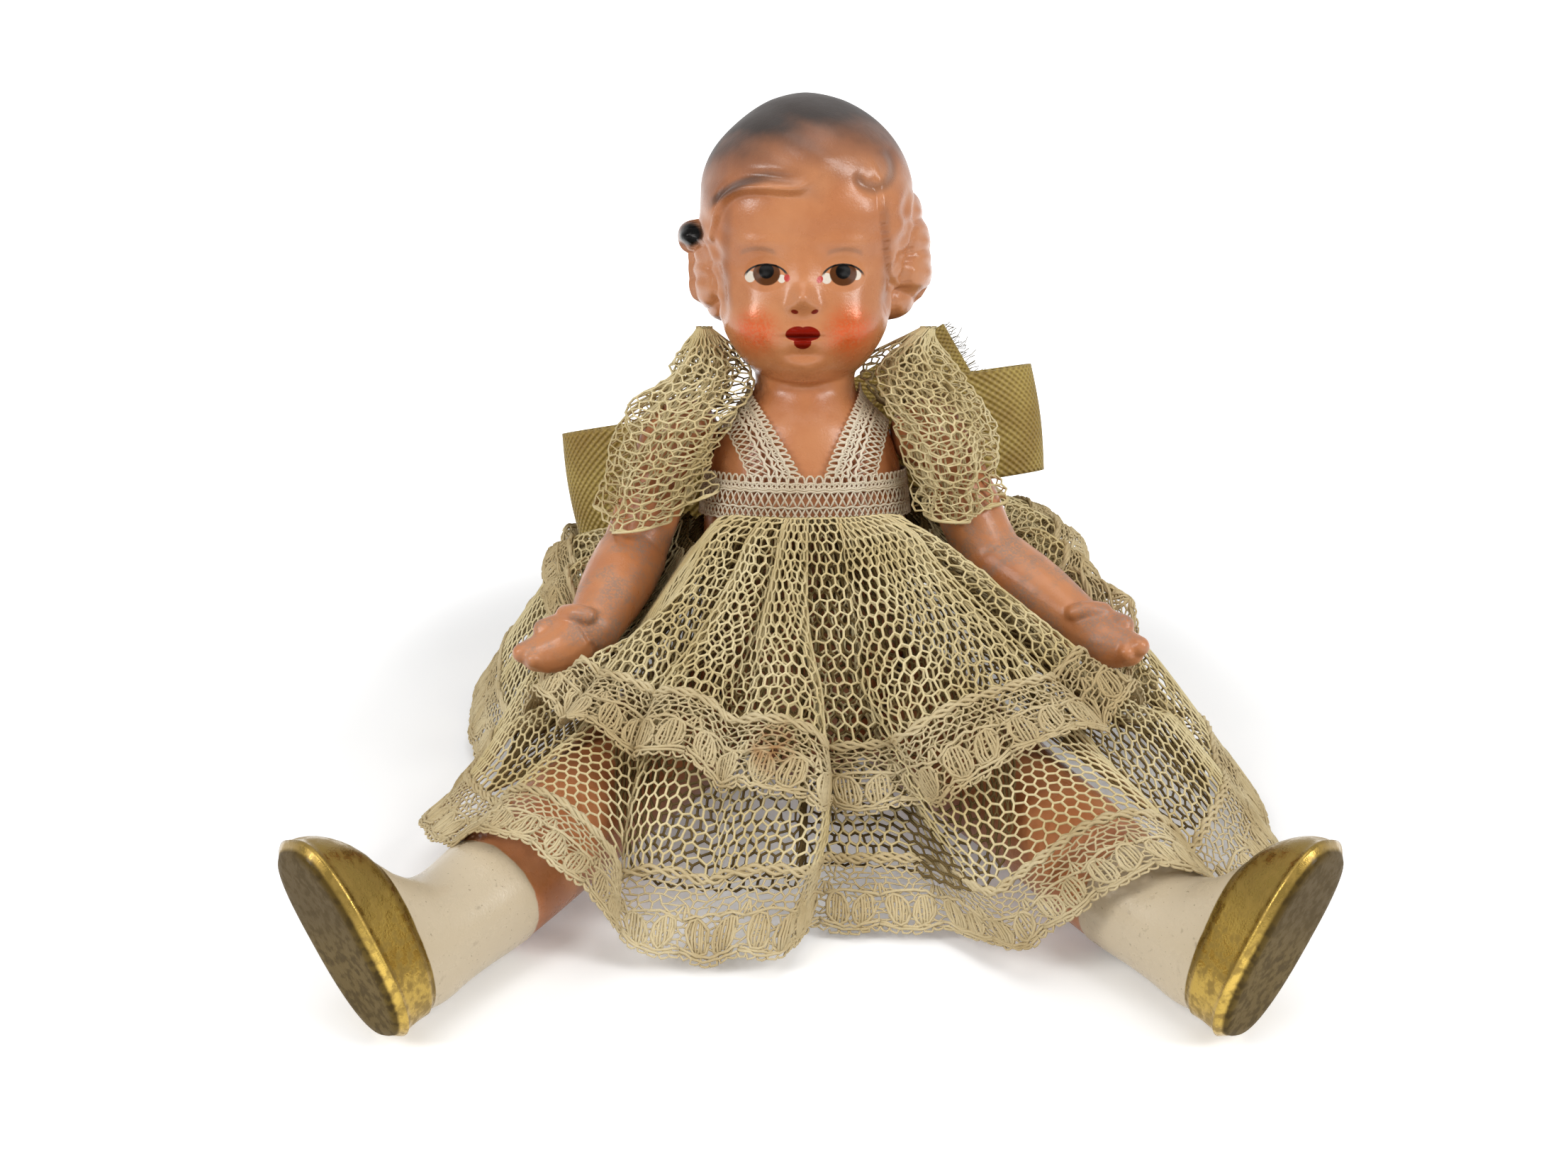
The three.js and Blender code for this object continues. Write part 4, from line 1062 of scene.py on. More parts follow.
    def relief(self, x: Array, y: Array, z: Array) -> Array:
        """Modelled detail over the smooth form: the face, the hair's edge and its waves."""
        front = step(-y, 3, 7)
        cx = x - self.face_middle
        face = np.zeros_like(x)
        singles = (self.nose, self.bridge, self.upper_lip, self.lower_lip, self.mouth_line)
        for tall, across, up, wide, high in (*singles, self.chin_groove, self.chin_ball, self.lip_groove):
            face += tall * mound(cx - across, z - up, wide, high)
        pairs = (self.nostril, self.cheek, self.eye_socket, self.eye, self.brow_ridge)
        for tall, across, up, wide, high in pairs:
            face += tall * (mound(cx - across, z - up, wide, high) + mound(cx + across, z - up, wide, high))
        line = self.hairline(np.clip(x, self.hair_across[0], self.hair_across[-1]))
        above = z - np.where(y < 0, line, 70 + 2 * step(y, 0, 6))
        edge = 0.6 + 2.6 * step(x, -1.5, 1.5) * step(-x, -10, -8)
        hair = step(above / edge, -1, 1)
        ridge = step(x, -13.5, -11.5) * step(-x, -1.5, 2.5) * front
        out = face * front * step(z, 56.8, 58)
        scalp = hair * step(z, 66, 70)
        out += 0.7 * scalp
        out += ridge * (0.75 * bell(above - 0.6, 0.8) - 0.35 * bell(above - 2.1, 0.8))
        waves = np.sin(hair_phase(x, z, np.sin))
        out += scalp * step(above, 1.5, 4) * 0.16 * waves * front
        across, up = x - HOOK_AT[0], z - HOOK_AT[1]
        swirl = np.hypot(across / HOOK_SIZE[0], up / HOOK_SIZE[1])
        hook = step(across - up, -2.5, 0) * step(-y, 0, 4)
        out += hook * (0.1 * bell(swirl, 0.7) - 0.32 * bell(swirl - 1, 0.28))
        for middle, level, r in self.curls:
            ring = np.hypot(y * 0.6 + 2.0, z - level)
            out += 0.22 * mound(x - middle, z - level, r, r) * np.cos(2.6 * ring)
        return out

    def skin(self, u: Array, v: Array) -> Array:
        """The casting's surface, in the model's frame."""
        aim = math.tau * u
        z = self.rows(v)
        r = self.reach(aim, z)
        x, y = r * np.sin(aim), -r * np.cos(aim)
        r = np.where(z > 56, r + self.relief(x, y, z) * np.minimum(1, 3 * self.crown(z)), r)
        r *= np.sqrt(np.clip(v / 0.004, 0, 1)) * np.sqrt(np.clip((1 - v) / 0.003, 0, 1))
        for side in Side:
            r = self.cut(r, aim, z, side)
        x, y = r * np.sin(aim), -r * np.cos(aim)
        points = POSTURE.lean(stack(x, y, z))
        points[:, 2] = np.maximum(points[:, 2], 0)
        return points

    def rows(self, v: Array) -> Array:
        """Heights of the rows, closest where the face and hair need them."""
        return np.interp(v, self.row_shares, (self.levels[0], *self.row_levels, self.top))

    def cut(self, r: Array, aim: Array, z: Array, side: Side) -> Array:
        """Draws the surface in where a shoulder ball or the flat hip face lies."""
        shoulder = POSTURE.at_shoulder(side)
        along = shoulder[0] * np.sin(aim)
        off = shoulder[0] ** 2 + (z - shoulder[2]) ** 2 - self.socket**2
        root = along**2 - off
        near = along - np.sqrt(np.maximum(root, 0))
        r = np.where((root > 0) & (along > 0), np.minimum(r, near), r)
        out, hip = POSTURE.hip_out(side), POSTURE.at_hip(side)
        slope = out[0] * np.sin(aim)
        room = out @ hip - out[2] * z
        return np.where(slope > 1e-3, np.minimum(r, np.maximum(room, 0) / np.maximum(slope, 1e-3)), r)

    def build(self) -> None:
        """Makes the casting and dresses it."""
        obj = lay_grid("head_and_body_casting", self.skin, *self.grid, closed=True)
        settle(obj, HeadPaint().material(), "torso", Slot.PAINT, "head_and_body")


@dataclass
class ArmShape:
    """One arm casting with its cupped hand, in the upright body's frame."""

    side: Side
    elbow: Place
    wrist: Place
    tip: Place
    palm: Place
    ball: float = 5.4
    root: float = 1.4
    upper: float = 4.95
    fore: float = 5.1
    cuff: float = 3.9
    # Bars of the hand: shares along it, millimetres towards the thumb and out of the palm, then radii
    hand: tuple[tuple[str, tuple[Place, ...], Row], ...] = (
        ("palm", ((0, -0.2, -0.2), (0.42, -0.3, 0.1), (0.74, 0.7, 0.1)), (3.9, 3.9, 2.6)),
        ("fore_finger", ((0.3, 2.3, 0.2), (0.53, 3.2, 0.8)), (2.2, 1.6)),
        ("middle", ((0.68, 1.2, 0.3), (0.9, 1.8, 0.9)), (2.2, 1.5)),
        ("little", ((0.7, -0.8, 0.3), (0.84, -0.1, 1.6)), (1.9, 1.2)),
        ("thumb", ((0.22, 3.0, 1.8), (0.12, 2.0, 3.4), (0.02, 0.6, 4.0)), (1.6, 1.4, 1.25)),
    )
    grain: float = 0.3
    smooth: int = 5

    def build(self) -> None:
        """Makes the arm and dresses it."""
        s = self.side.value
        shoulder = POSTURE.at_shoulder(self.side)
        start = shoulder + (s * self.root, 0, 0)
        elbow, wrist, tip = (np.array(p) for p in (self.elbow, self.wrist, self.tip))
        aim = (tip - wrist) / np.linalg.norm(tip - wrist)
        palm = np.array(self.palm) - np.dot(self.palm, aim) * aim
        palm /= np.linalg.norm(palm)
        across = np.cross(palm, aim)
        across *= 1 if across[2] > 0 else -1
        long = float(np.linalg.norm(tip - wrist))

        def spot(along: float, up: float, out: float) -> Array:
            """A place in the hand: along it, towards the thumb and out of the palm."""
            return wrist + aim * long * along + across * up + palm * out

        lean = POSTURE.lean
        near_elbow = (elbow * 0.9 + start * 0.1, elbow * 0.92 + wrist * 0.08)
        bones = (start, start * 0.5 + elbow * 0.5, *near_elbow, elbow * 0.5 + wrist * 0.5, wrist)
        upper, fore = self.upper, self.fore
        radii = (upper * 0.96, upper, upper * 0.98, fore * 1.03, fore, self.cuff)
        parts = [
            capsule("arm", lean(bones), radii, 28),
            capsule("ball", lean([shoulder, shoulder + (s * 0.2, 0, 0)]), (self.ball, self.ball), 32),
        ]
        for name, places, sizes in self.hand:
            parts.append(capsule(name, lean([spot(*place) for place in places]), sizes))
        arm = f"{self.side.word}_arm"
        obj = cast(f"{arm}_casting", parts, self.grain, self.smooth)
        settle(obj, ArmPaint(side=self.side).material(), arm, Slot.PAINT, arm)


# Each arm's elbow, wrist and finger tip in the upright body, and the way its palm looks
ARM_PLACES = {
    Side.LEFT: ((27.9, -5.6, 31.9), (40.1, -14.9, 23.6), (47.0, -23.3, 20.1), (-0.45, -0.75, 0.5)),
    Side.RIGHT: ((-25.6, -5.9, 33.0), (-30.2, -19.9, 24.5), (-39.9, -23.5, 19.2), (0.3, -0.7, 0.6)),
}


@dataclass
class LegShape:
    """One leg casting with moulded sock and slipper, standing at its hip; its tables hold shares."""

    side: Side
    wide: float = 9.8
    heel: float = 0.9
    sock_top: float = 24.0
    shoe_top: float = 6.4
    sole_tilt: float = 0.26
    blunt: float = 0.26
    grid: tuple[int, int] = (72, 190)
    downs: Row = (
        -0.102, -0.06, 0.036, 0.167, 0.321, 0.452, 0.595, 0.714,
        0.798, 0.845, 0.881, 0.905, 0.923, 0.952, 0.983, 1.0,
    )
    wides: Row = (
        0.35, 0.78, 0.98, 1.0, 0.91, 0.82, 0.82, 0.77,
        0.66, 0.61, 0.6, 0.61, 0.63, 0.67, 0.69, 0.61,
    )
    fronts: Row = (
        0.41, 0.82, 0.99, 0.99, 0.92, 0.83, 0.81, 0.77,
        0.76, 0.88, 1.16, 1.5, 1.77, 1.99, 2.05, 1.95,
    )
    backs: Row = (
        0.41, 0.82, 0.99, 0.99, 0.92, 0.83, 0.81, 0.77,
        0.69, 0.66, 0.65, 0.62, 0.58, 0.54, 0.52, 0.45,
    )

    def size(self, shares: Row, t: Array) -> Array:
        """One of the leg's sizes at a distance down from the hip."""
        return self.wide * Profile(self.downs, shares)(t / LEG_LONG)

    def skin(self, u: Array, v: Array) -> Array:
        """The leg from hip to sole, closed at both ends."""
        top = self.downs[0] * LEG_LONG
        t = np.interp(v, (0, 0.03, 0.42, 0.58, 0.96, 1), (top, top, 52, 59, LEG_LONG, LEG_LONG))
        end = np.interp(v, (0, 0.03, 0.96, 1), (0, 1, 1, 0))
        wide, front, back = (self.size(s, t) for s in (self.wides, self.fronts, self.backs))
        middle, half = (back - front) / 2, (back + front) / 2
        taper = (1 - self.heel) * step(half / wide, 1.1, 1.8)
        angle = math.tau * u
        behind = 1 - taper * (0.5 - 0.5 * np.cos(angle))
        relief = self.relief(middle - half * np.cos(angle), LEG_LONG - t)
        power = 1 - self.blunt * step(half / wide, 1.1, 1.8)
        aside, ahead = (np.sign(part) * np.abs(part) ** power for part in (np.sin(angle), np.cos(angle)))
        across = (wide * behind + relief) * end * aside
        tilt = self.sole_tilt * step(t, LEG_LONG - 12, LEG_LONG - 3)
        return stack(across, middle - (half + relief) * end * ahead, self.side.value * across * tilt - t)

    def relief(self, y: Array, height: Array) -> Array:
        """The steps of sock and slipper, and the welt round the sole."""
        sock = step(height, self.sock_top + 0.35, self.sock_top - 0.35)
        shoe = step(height + 0.09 * y, self.shoe_top + 0.3, self.shoe_top - 0.3)
        return 0.16 * sock + 0.34 * shoe + 0.38 * bell(height - 1.5, 0.42)

    def build(self) -> None:
        """Makes the leg and dresses it."""
        leg = f"{self.side.word}_leg"
        obj = lay_grid(f"{leg}_casting", self.skin, *self.grid, closed=True)
        points = points_of(obj)
        out = turn(self.side.value * POSTURE.stance, (0, 1, 0)) @ POSTURE.hip_out(self.side)
        short = np.maximum(FIT - points @ out, 0)
        points += short[:, None] * out
        put_points(obj, POSTURE.place_leg(points, self.side))
        settle(obj, LegPaint(side=self.side).material(), leg, Slot.PAINT, leg)


# Dress


@dataclass
class Bow:
    """The ribbon bow at the back of the waistband."""

    body: HeadAndBody
    level: float = 46
    tilt: float = math.radians(8.5)
    wide: float = 17
    loop: float = 38
    bulge: float = 3.4
    thick: float = 0.6
    tail: float = 30
    tail_wide: float = 12
    tail_aims: tuple[Place, Place] = ((0.88, 0.1, 0.36), (-0.9, 0.05, -0.22))
    silk: float = 0.34
    knot: Place = (7.5, 4.6, 8.0)

    def place(self, points: Array) -> Array:
        """From the bow's frame to the upright body's frame."""
        y = float(self.body.deep(self.level - self.knot[2] / 2)) + self.knot[1] / 2 + LACE + 2 * FIT
        return np.asarray(points, float) @ turn(-self.tilt, (0, 1, 0)).T + (0, y, self.level)

    def lean(self, points: Array) -> Array:
        """From the bow's frame to the model's frame."""
        return POSTURE.lean(self.place(points))

    def tail_start(self, side: Side) -> Array:
        """Where a tail leaves the knot."""
        return np.array((side.value * self.knot[0] * 0.2, self.knot[1] / 2 + FIT, 0))

    def loop_skin(self, side: Side) -> Surface:
        """A teardrop loop with creases running out of the knot."""

        def skin(u: Array, v: Array) -> Array:
            """Across the ribbon by u, round the loop by v."""
            angle = math.tau * v
            share = 0.5 - 0.5 * np.cos(angle)
            half = self.thick / 2
            x = self.knot[0] / 2 + FIT + half + (self.loop - self.knot[0] / 2 - 2 * half) * share
            y = (self.bulge - half) * np.sin(angle) * (0.35 + 0.65 * share)
            gather = 0.42 + 0.58 * step(share, 0, 0.45)
            crease = 0.35 * np.cos(7 * math.pi * (u - 0.5)) * (1 - step(share, 0.1, 0.6))
            bow_out = 0.5 * np.sin(math.pi * u) * step(share, 0.3, 1)
            x = side.value * (x + bow_out - 0.5)
            return self.lean(stack(x, y + crease, (u - 0.5) * self.wide * gather))

        return skin

    def tail_skin(self, side: Side) -> Surface:
        """A ribbon tail with a gentle wave."""
        aim = self.tail_aims[side.order]
        across = np.cross(aim, (0, 1, 0))
        across /= np.linalg.norm(across)

        def skin(u: Array, v: Array) -> Array:
            """Across the ribbon by u, out along it by v."""
            wave = (self.bulge + FIT) * step(v, 0, 0.35) + 0.8 * np.sin(2.2 * math.pi * v) * v
            wide = self.tail_wide * (0.5 + 0.5 * step(v, 0, 0.4))
            crease = 0.3 * np.cos(6 * math.pi * (u - 0.5)) * (1 - step(v, 0.05, 0.5))
            points = self.tail_start(side) + np.outer(self.tail * v, aim)
            points += np.outer(wide * (u - 0.5), across)
            points[:, 1] += wave + crease + self.thick / 2
            return self.lean(points)

        return skin

    def build(self) -> None:
        """Makes the knot, loops and tails, and dresses them."""
        finish = RibbonSilk()
        for side in Side:
            name = f"{side.word}_loop"
            obj = self.ribbon(name, self.loop_skin(side), 24, 96)
            settle(obj, finish.material(f"{name}_ribbon", 64), "torso", Slot.RIBBON, f"bow_{name}")
        for side in Side:
            name = f"{side.word}_tail"
            skin = self.tail_skin(side)
            obj = self.ribbon(name, skin, 20, 48)
            fray = self.fray(f"{side.word}_fray", skin)
            silk = finish.material(f"{name}_ribbon", 27)
            settle(obj, silk, "torso", Slot.RIBBON, f"bow_{name}")
            settle(fray, silk, "torso", Slot.RIBBON)
        self.tie(finish)

    def ribbon(self, name: str, skin: Surface, columns: int, rows: int) -> Piece:
        """A length of ribbon with its thickness."""
        obj = lay_grid(name, skin, columns, rows)
        refine(obj, "SOLIDIFY", thickness=self.silk * MM, offset=0)
        bpy.ops.object.shade_smooth()
        return obj

    def fray(self, name: str, skin: Surface) -> Piece:
        """Loose warp threads at the cut end of a tail."""
        rng = np.random.default_rng(11)
        yarns = []
        for u in np.linspace(0.02, 0.98, 44):
            end = skin(np.array([u, u]), np.array([0.97, 1.0]))
            ahead = (end[1] - end[0]) / np.linalg.norm(end[1] - end[0])
            stray = rng.normal(0, 0.35, (4, 3))
            run = np.linspace(0, rng.uniform(1.2, 3.2), 4)
            yarns.append(Yarn(end[0] + np.outer(run, ahead) + stray * (run / 3)[:, None], 0.07))
        return threads(name, yarns)

    def tie(self, finish: RibbonSilk) -> None:
        """The knot: a wrap of ribbon with rounded edges and creases."""
        w, d, tall = self.knot

        def skin(u: Array, v: Array) -> Array:
            """Round the knot by u, up it by v."""
            angle = math.tau * u
            end = np.sin(math.pi * np.clip(v, 0, 1)) ** 0.3
            end = np.where((v < 1e-4) | (v > 1 - 1e-4), 0, end)
            crease = 1 + 0.06 * np.sin(9 * math.pi * v + np.sin(angle)) * end
            x, y = w / 2 * np.cos(angle) * end * crease, d / 2 * np.sin(angle) * end * crease
            return self.lean(stack(x, y, (v - 0.5) * tall))

        obj = lay_grid("knot_wrap", skin, 48, 40, closed=True)
        settle(obj, finish.material("knot_ribbon", 14), "torso", Slot.RIBBON, "bow_knot")


@dataclass
class Sleeves:
    """Net sleeves, gathered over the upper arms and drawn up beside the jaw."""

    levels: Row = (36, 42, 47, 52, 56, 59, 62.5, 65, 66.3)
    middles: tuple[Row, Row] = (
        (21.8, 21.3, 20.6, 19.5, 17.8, 16.2, 15.6, 17.0, 18.2),
        (22.8, 21.4, 20.0, 18.5, 16.8, 14.6, 14.2, 14.6, 14.9),
    )
    wides: tuple[Row, Row] = (
        (5.4, 5.6, 6.0, 6.2, 5.7, 4.9, 3.2, 1.5, 0.5),
        (6.0, 6.7, 6.5, 6.0, 5.7, 4.2, 3.0, 1.5, 0.5),
    )
    ys: Row = (-3.8, -2.9, -1.9, -1.6, -2.0, -2.6, -3.3, -3.6, -3.8)
    deeps: Row = (6.8, 7.8, 8.8, 8.8, 7.0, 5.2, 3.6, 1.6, 0.5)
    hem_shares: Row = (0, 0.2, 0.36, 0.52, 0.75, 1)
    hems: tuple[Row, Row] = ((40.4, 38.2, 39.4, 41, 41, 41), (42, 38, 36.2, 39, 41, 41))
    # How the folds slant, and how far the cuff is drawn in, on the left and on the right
    slants: Flat = (0.55, -0.8)
    drawn: Flat = (1.3, 0.3)
    # Each layer of net: its depth inside, and its cells round and down
    layers: tuple[tuple[float, int, int], ...] = ((0.0, 31, 23), (1.0, 27, 20), (2.0, 24, 18))
    thread: float = 0.38
    edge_thread: float = 0.26
    flat: Flat = (0.058, 0.036)
    # Heights from the shoulder between which the sleeve passes from the body to the arm
    passes: Flat = (11, -5)
    wrap_front: float = math.radians(156)
    wrap_back: float = math.radians(118)
    wrap_top: float = math.radians(166)

    def point(self, side: Side, around: Array, z: Array, grow: Array | float) -> Array:
        """A place on a sleeve, in the upright body's frame."""
        z = np.asarray(z, float)
        wrap = np.where(around < 0, self.wrap_front, self.wrap_back)
        angle = around * (wrap + (self.wrap_top - wrap) * step(z, 52.5, 55.5))
        sizes = (self.middles[side.order], self.wides[side.order], self.ys, self.deeps)
        x, wide, y, deep = (Profile(self.levels, size)(z) for size in sizes)
        return stack(side.value * (x + (wide + grow) * np.cos(angle)), y + (deep + grow) * np.sin(angle), z)

    def skin(self, side: Side, inside: float) -> Surface:
        """A sleeve's bunched net, gathered to a peak beside the jaw."""
        high = self.levels[-1]
        hem = Profile(self.hem_shares, self.hems[side.order])
        slant, drawn = self.slants[side.order], self.drawn[side.order]

        def place(u: Array, v: Array) -> Array:
            """Round the arm by u, down from the peak by v."""
            full = step(v, 0.0, 0.22)
            wave = math.tau * (3.2 * u + slant * v + 0.2 * np.sin(5 * v + 3 * u) + 0.33 * inside)
            fine = math.tau * (8.3 * u - 1.7 * slant * v + 0.25 * np.sin(7 * v) + 0.21 * inside)
            around = np.clip(2 * u - 1 + full * (0.075 * np.sin(wave) + 0.02 * np.sin(fine)), -1, 1)
            z = high + (hem(u) - high) * v
            bunch = np.maximum(1.9 * np.cos(wave) + 0.6 * np.cos(2 * wave), -1.5)
            bunch += 0.6 * np.cos(fine) * (1 - 0.5 * step(v, 0.5, 0.9))
            bunch -= drawn * bell(v - 0.86, 0.05)
            points = self.point(side, around, z, NET / 2 + (0.3 + bunch) * full - inside)
            points[:, 2] += 0.5 * np.cos(wave) * step(v, 0.6, 1)
            return POSTURE.lean(points)

        return place

    def build(self) -> None:
        """Makes the sleeves and dresses them."""
        material = NET_THREAD.material()
        for side in Side:
            layers = []
            for deep, across, down in self.layers:
                layers.append(hex_net("sleeve", self.skin(side, deep), across, down, self.thread))
            edge = self.skin(side, 0.0)(np.linspace(0, 1, 120), np.ones(120))
            layers.append(threads("edge", [Yarn(edge, self.edge_thread)]))
            obj = join(f"{side.word}_net_sleeve", layers)
            settle(obj, material, None, Slot.NET, f"{side.word}_sleeve")
            shoulder = POSTURE.at_shoulder(side)
            top, arm = (POSTURE.lean(shoulder + (0, 0, up)) * MM for up in self.passes)
            tuple(top)
            tuple(arm)
            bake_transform(obj)


@dataclass
class Skirt:
    """Two tiers of gathered net with lace hems, draped over the legs."""

    body: HeadAndBody
    bow: Bow
    sleeves: Sleeves
    arms: dict[Side, ArmShape]
    waist: float = 38.6
    folds: int = 23
    # Shares of the way to the hem: ends of the nets and the upper lace, broad and narrow sag in front
    net_end: float = 0.845
    over_end: float = 0.45
    over_lace_end: float = 0.605
    front_sag: Flat = (0.08, 0.12)
    # Directions from the front in degrees, towards the doll's left, and how far the hem reaches there
    reaches: tuple[Row, Row] = (
        (-180, -135, -90, -62, -41, -22, 0, 22, 41, 62, 90, 135, 180),
        (49, 44, 37, 39, 59, 57, 54, 61, 69, 58, 43, 46, 49),
    )
    # How steeply cloth falls beside a leg, and the room kept under what lies on the cloth
    tent_fall: float = 0.85
    press_margin: float = 1.3
    flare: float = 1.6
    puff: float = 1.5
    # Powers of the skirt's fall in front and behind, and what the sides differ by
    bell_front: float = 1.15
    bell_back: float = 1.75
    bell_aside: float = 0.2
    cell: float = 1.8
    thread: float = 0.4
    cover: float = 0.45
    # How steeply the folds stand out at the waist, and how much more at the hem
    stand: Flat = (math.radians(20), math.radians(58))
    steep_press: float = math.radians(55)
    hand_press: float = 4.9
    cuff_level: float = 40.0
    loop_lows: tuple[Flat, ...] = ((0.1, 0.2), (0.45, 0.38), (1, 0.38))
    # The deep fold in front: directions of its two edges in radians, and how far its hem draws back
    pleat: Row = (-0.045, -0.01, 0.2, 0.36)
    pleat_deep: float = 8.5
    # Direction and half width of a leg under the skirt in radians
    leg_aim: Flat = (0.6, 0.15)

    def __post_init__(self) -> None:
        self.over_raise = NET + LACE + FIT
        self.leg = LegShape(Side.LEFT)
        self.balls = self.pressing()

    def pressing(self) -> Array:
        """Balls along what lies on the skirt: arms, cuffs, bow loops and the lower tail."""
        balls: list[Row] = []
        bow = self.bow

        def row(start: Array, end: Array, first: float, last: float) -> None:
            """Balls from one place to another."""
            count = math.ceil(float(np.linalg.norm(end - start)) / 2.5)
            for k in range(count + 1):
                s = k / max(count, 1)
                balls.append((*POSTURE.lean(start * (1 - s) + end * s), first * (1 - s) + last * s))

        def chain(places: Sequence[Array], radius: float) -> None:
            """Balls of one size from place to place."""
            for a, b in zip(places[:-1], places[1:]):
                row(a, b, radius, radius)

        for side, arm in self.arms.items():
            elbow, wrist, tip = (np.array(p) for p in (arm.elbow, arm.wrist, arm.tip))
            row(POSTURE.at_shoulder(side), elbow, arm.ball, arm.upper)
            row(elbow, wrist, arm.fore, arm.cuff)
            chain((wrist, tip), self.hand_press)
            chain(self.sleeves.point(side, np.linspace(-1, 1, 9), np.full(9, self.cuff_level), NET), 2 * FIT)
            reach = side.value * bow.loop
            chain([bow.place([reach * s, 0, -bow.wide * d]) for s, d in self.loop_lows], bow.bulge)
        start = bow.tail_start(Side.RIGHT)
        end = start + np.array(bow.tail_aims[Side.RIGHT.order]) * bow.tail
        row(bow.place(start), bow.place(end), bow.tail_wide * 0.7, bow.tail_wide * 0.75)
        return np.array(balls)

    def pressed(self, x: Array, y: Array) -> Array:
        """The highest that cloth may lie over a place on the floor."""
        limit = np.full(x.shape, np.inf)
        steep = self.steep_press
        for bx, by, bz, radius in self.balls:
            away = np.hypot(x - bx, y - by)
            grown = radius + self.press_margin
            rim = grown * math.sin(steep)
            drop = np.where(
                away < rim,
                np.sqrt(np.maximum(grown**2 - away**2, 0)),
                grown * math.cos(steep) - math.tan(steep) * (away - rim),
            )
            limit = np.minimum(limit, bz - drop)
        return limit

    def tent(self, side: Side, x: Array, y: Array) -> Array:
        """Height of the cloth over one leg."""
        hip = POSTURE.lean(POSTURE.at_hip(side))
        aim = POSTURE.lean(POSTURE.leg_turn(side) @ (0, 0, -1.0))
        flat = math.hypot(aim[0], aim[1])
        t = ((x - hip[0]) * aim[0] + (y - hip[1]) * aim[1]) / flat**2
        along = np.clip(t, 0, LEG_LONG)
        beside = np.hypot(((x - hip[0]) * aim[1] - (y - hip[1]) * aim[0]) / flat, (t - along) * flat)
        radius = self.leg.size(self.leg.wides, along) + 3 * FIT
        leaves = math.atan(self.tent_fall)
        rim = radius * math.sin(leaves)
        over = np.sqrt(np.maximum(radius**2 - beside**2, 0))
        rise = np.where(beside < rim, over, radius * math.cos(leaves) - self.tent_fall * (beside - rim))
        return hip[2] + aim[2] * along + rise

    def folds_at(self, angle: Array, share: Array) -> tuple[Array, Array]:
        """Gathers of the cloth: how far it stands out of the smooth drape, and how far it leans over."""
        stray = 0.11 * np.sin(3 * angle + 1.0) + 0.05 * np.sin(7 * angle + 0.4)
        girth = 15 + 42 * share
        out, sway = np.zeros_like(angle), np.zeros_like(angle)
        ease = 1 - 0.6 * step(share, 0.66, 0.98)
        main = (0.8 + 1.4 * step(share, 0.0, 0.06) + 1.2 * step(share, 0.1, 0.4)) * ease
        sorts = (
            (8, 1.8 * step(share, 0.2, 0.7) * (1 - 0.5 * step(share, 0.8, 1.0)), 0.5),
            (self.folds, main, 1.15 * ease),
            (2 * self.folds - 5, 1.2 * step(share, 0.0, 0.12) * (1 - 0.9 * step(share, 0.3, 0.8)), 0.7),
            (3 * self.folds - 2, 0.8 * (1 - step(share, 0.06, 0.3)), 0.5),
        )
        for count, tall, lean in sorts:
            wave = count * (angle + stray) + 1.1 * np.sin(4 * share + 2 * angle)
            out += tall * (0.5 + 0.5 * np.cos(wave))
            sway += lean * girth / count * np.sin(wave) * np.minimum(tall, 1)
        return out, sway

    def drape(
        self, angle: Array, share: Array, lift: float, flare: float, folds: float
    ) -> Array:
        """A place on the skirt.

        Args:
            angle: direction round the waist from the front, towards the doll's left.
            share: share of the way from the waist to the hem.
            lift: height above the underskirt's lower face.
            flare: how much farther out the cloth's lower edge stands.
            folds: share of the gathers' full height.

        Returns:
            Places in the model's frame, in millimetres.
        """
        turn_to = half_turn(angle)
        z = self.waist + FIT
        wide, deep = self.body.laced(z)
        waist = POSTURE.lean(stack(wide * np.sin(angle), -deep * np.cos(angle), z))
        pleat = step(turn_to, *self.pleat[:2]) * (1 - step(turn_to, *self.pleat[2:]))
        reach = Profile(*self.reaches)(np.degrees(turn_to))
        reach = reach - self.pleat_deep * pleat * step(share, 0.2, 0.75)
        x = waist[:, 0] + np.sin(angle) * reach * share
        y = waist[:, 1] - np.cos(angle) * reach * share
        front = 0.5 + 0.5 * np.cos(angle)
        back = self.bell_back + self.bell_aside * np.sin(angle)
        tent = waist[:, 2] * (1 - share ** (back + (self.bell_front - back) * front)) + 0.3
        over = np.maximum(self.tent(Side.LEFT, x, y), self.tent(Side.RIGHT, x, y)) + FIT
        fold, sway = (part * folds for part in self.folds_at(angle, share))
        fold = fold * (1 - 0.7 * pleat) + lift + flare * step(share, 0.4, self.over_lace_end)
        fold += self.puff * bell(share - 0.07, 0.05)
        steep = self.stand[0] + self.stand[1] * step(share, 0.05, 0.75)
        points = stack(x, y, higher(tent, over, 1.2))
        flat = np.cos(steep)
        points += stack(np.sin(angle) * flat, -np.cos(angle) * flat, np.sin(steep)) * fold[:, None]
        points += stack(np.cos(angle), np.sin(angle), 0 * angle) * sway[:, None]
        most = self.pressed(points[:, 0], points[:, 1]) - self.over_raise - LACE + lift
        points[:, 2] = np.maximum(lower(points[:, 2], most, 1.2), NET)
        return points

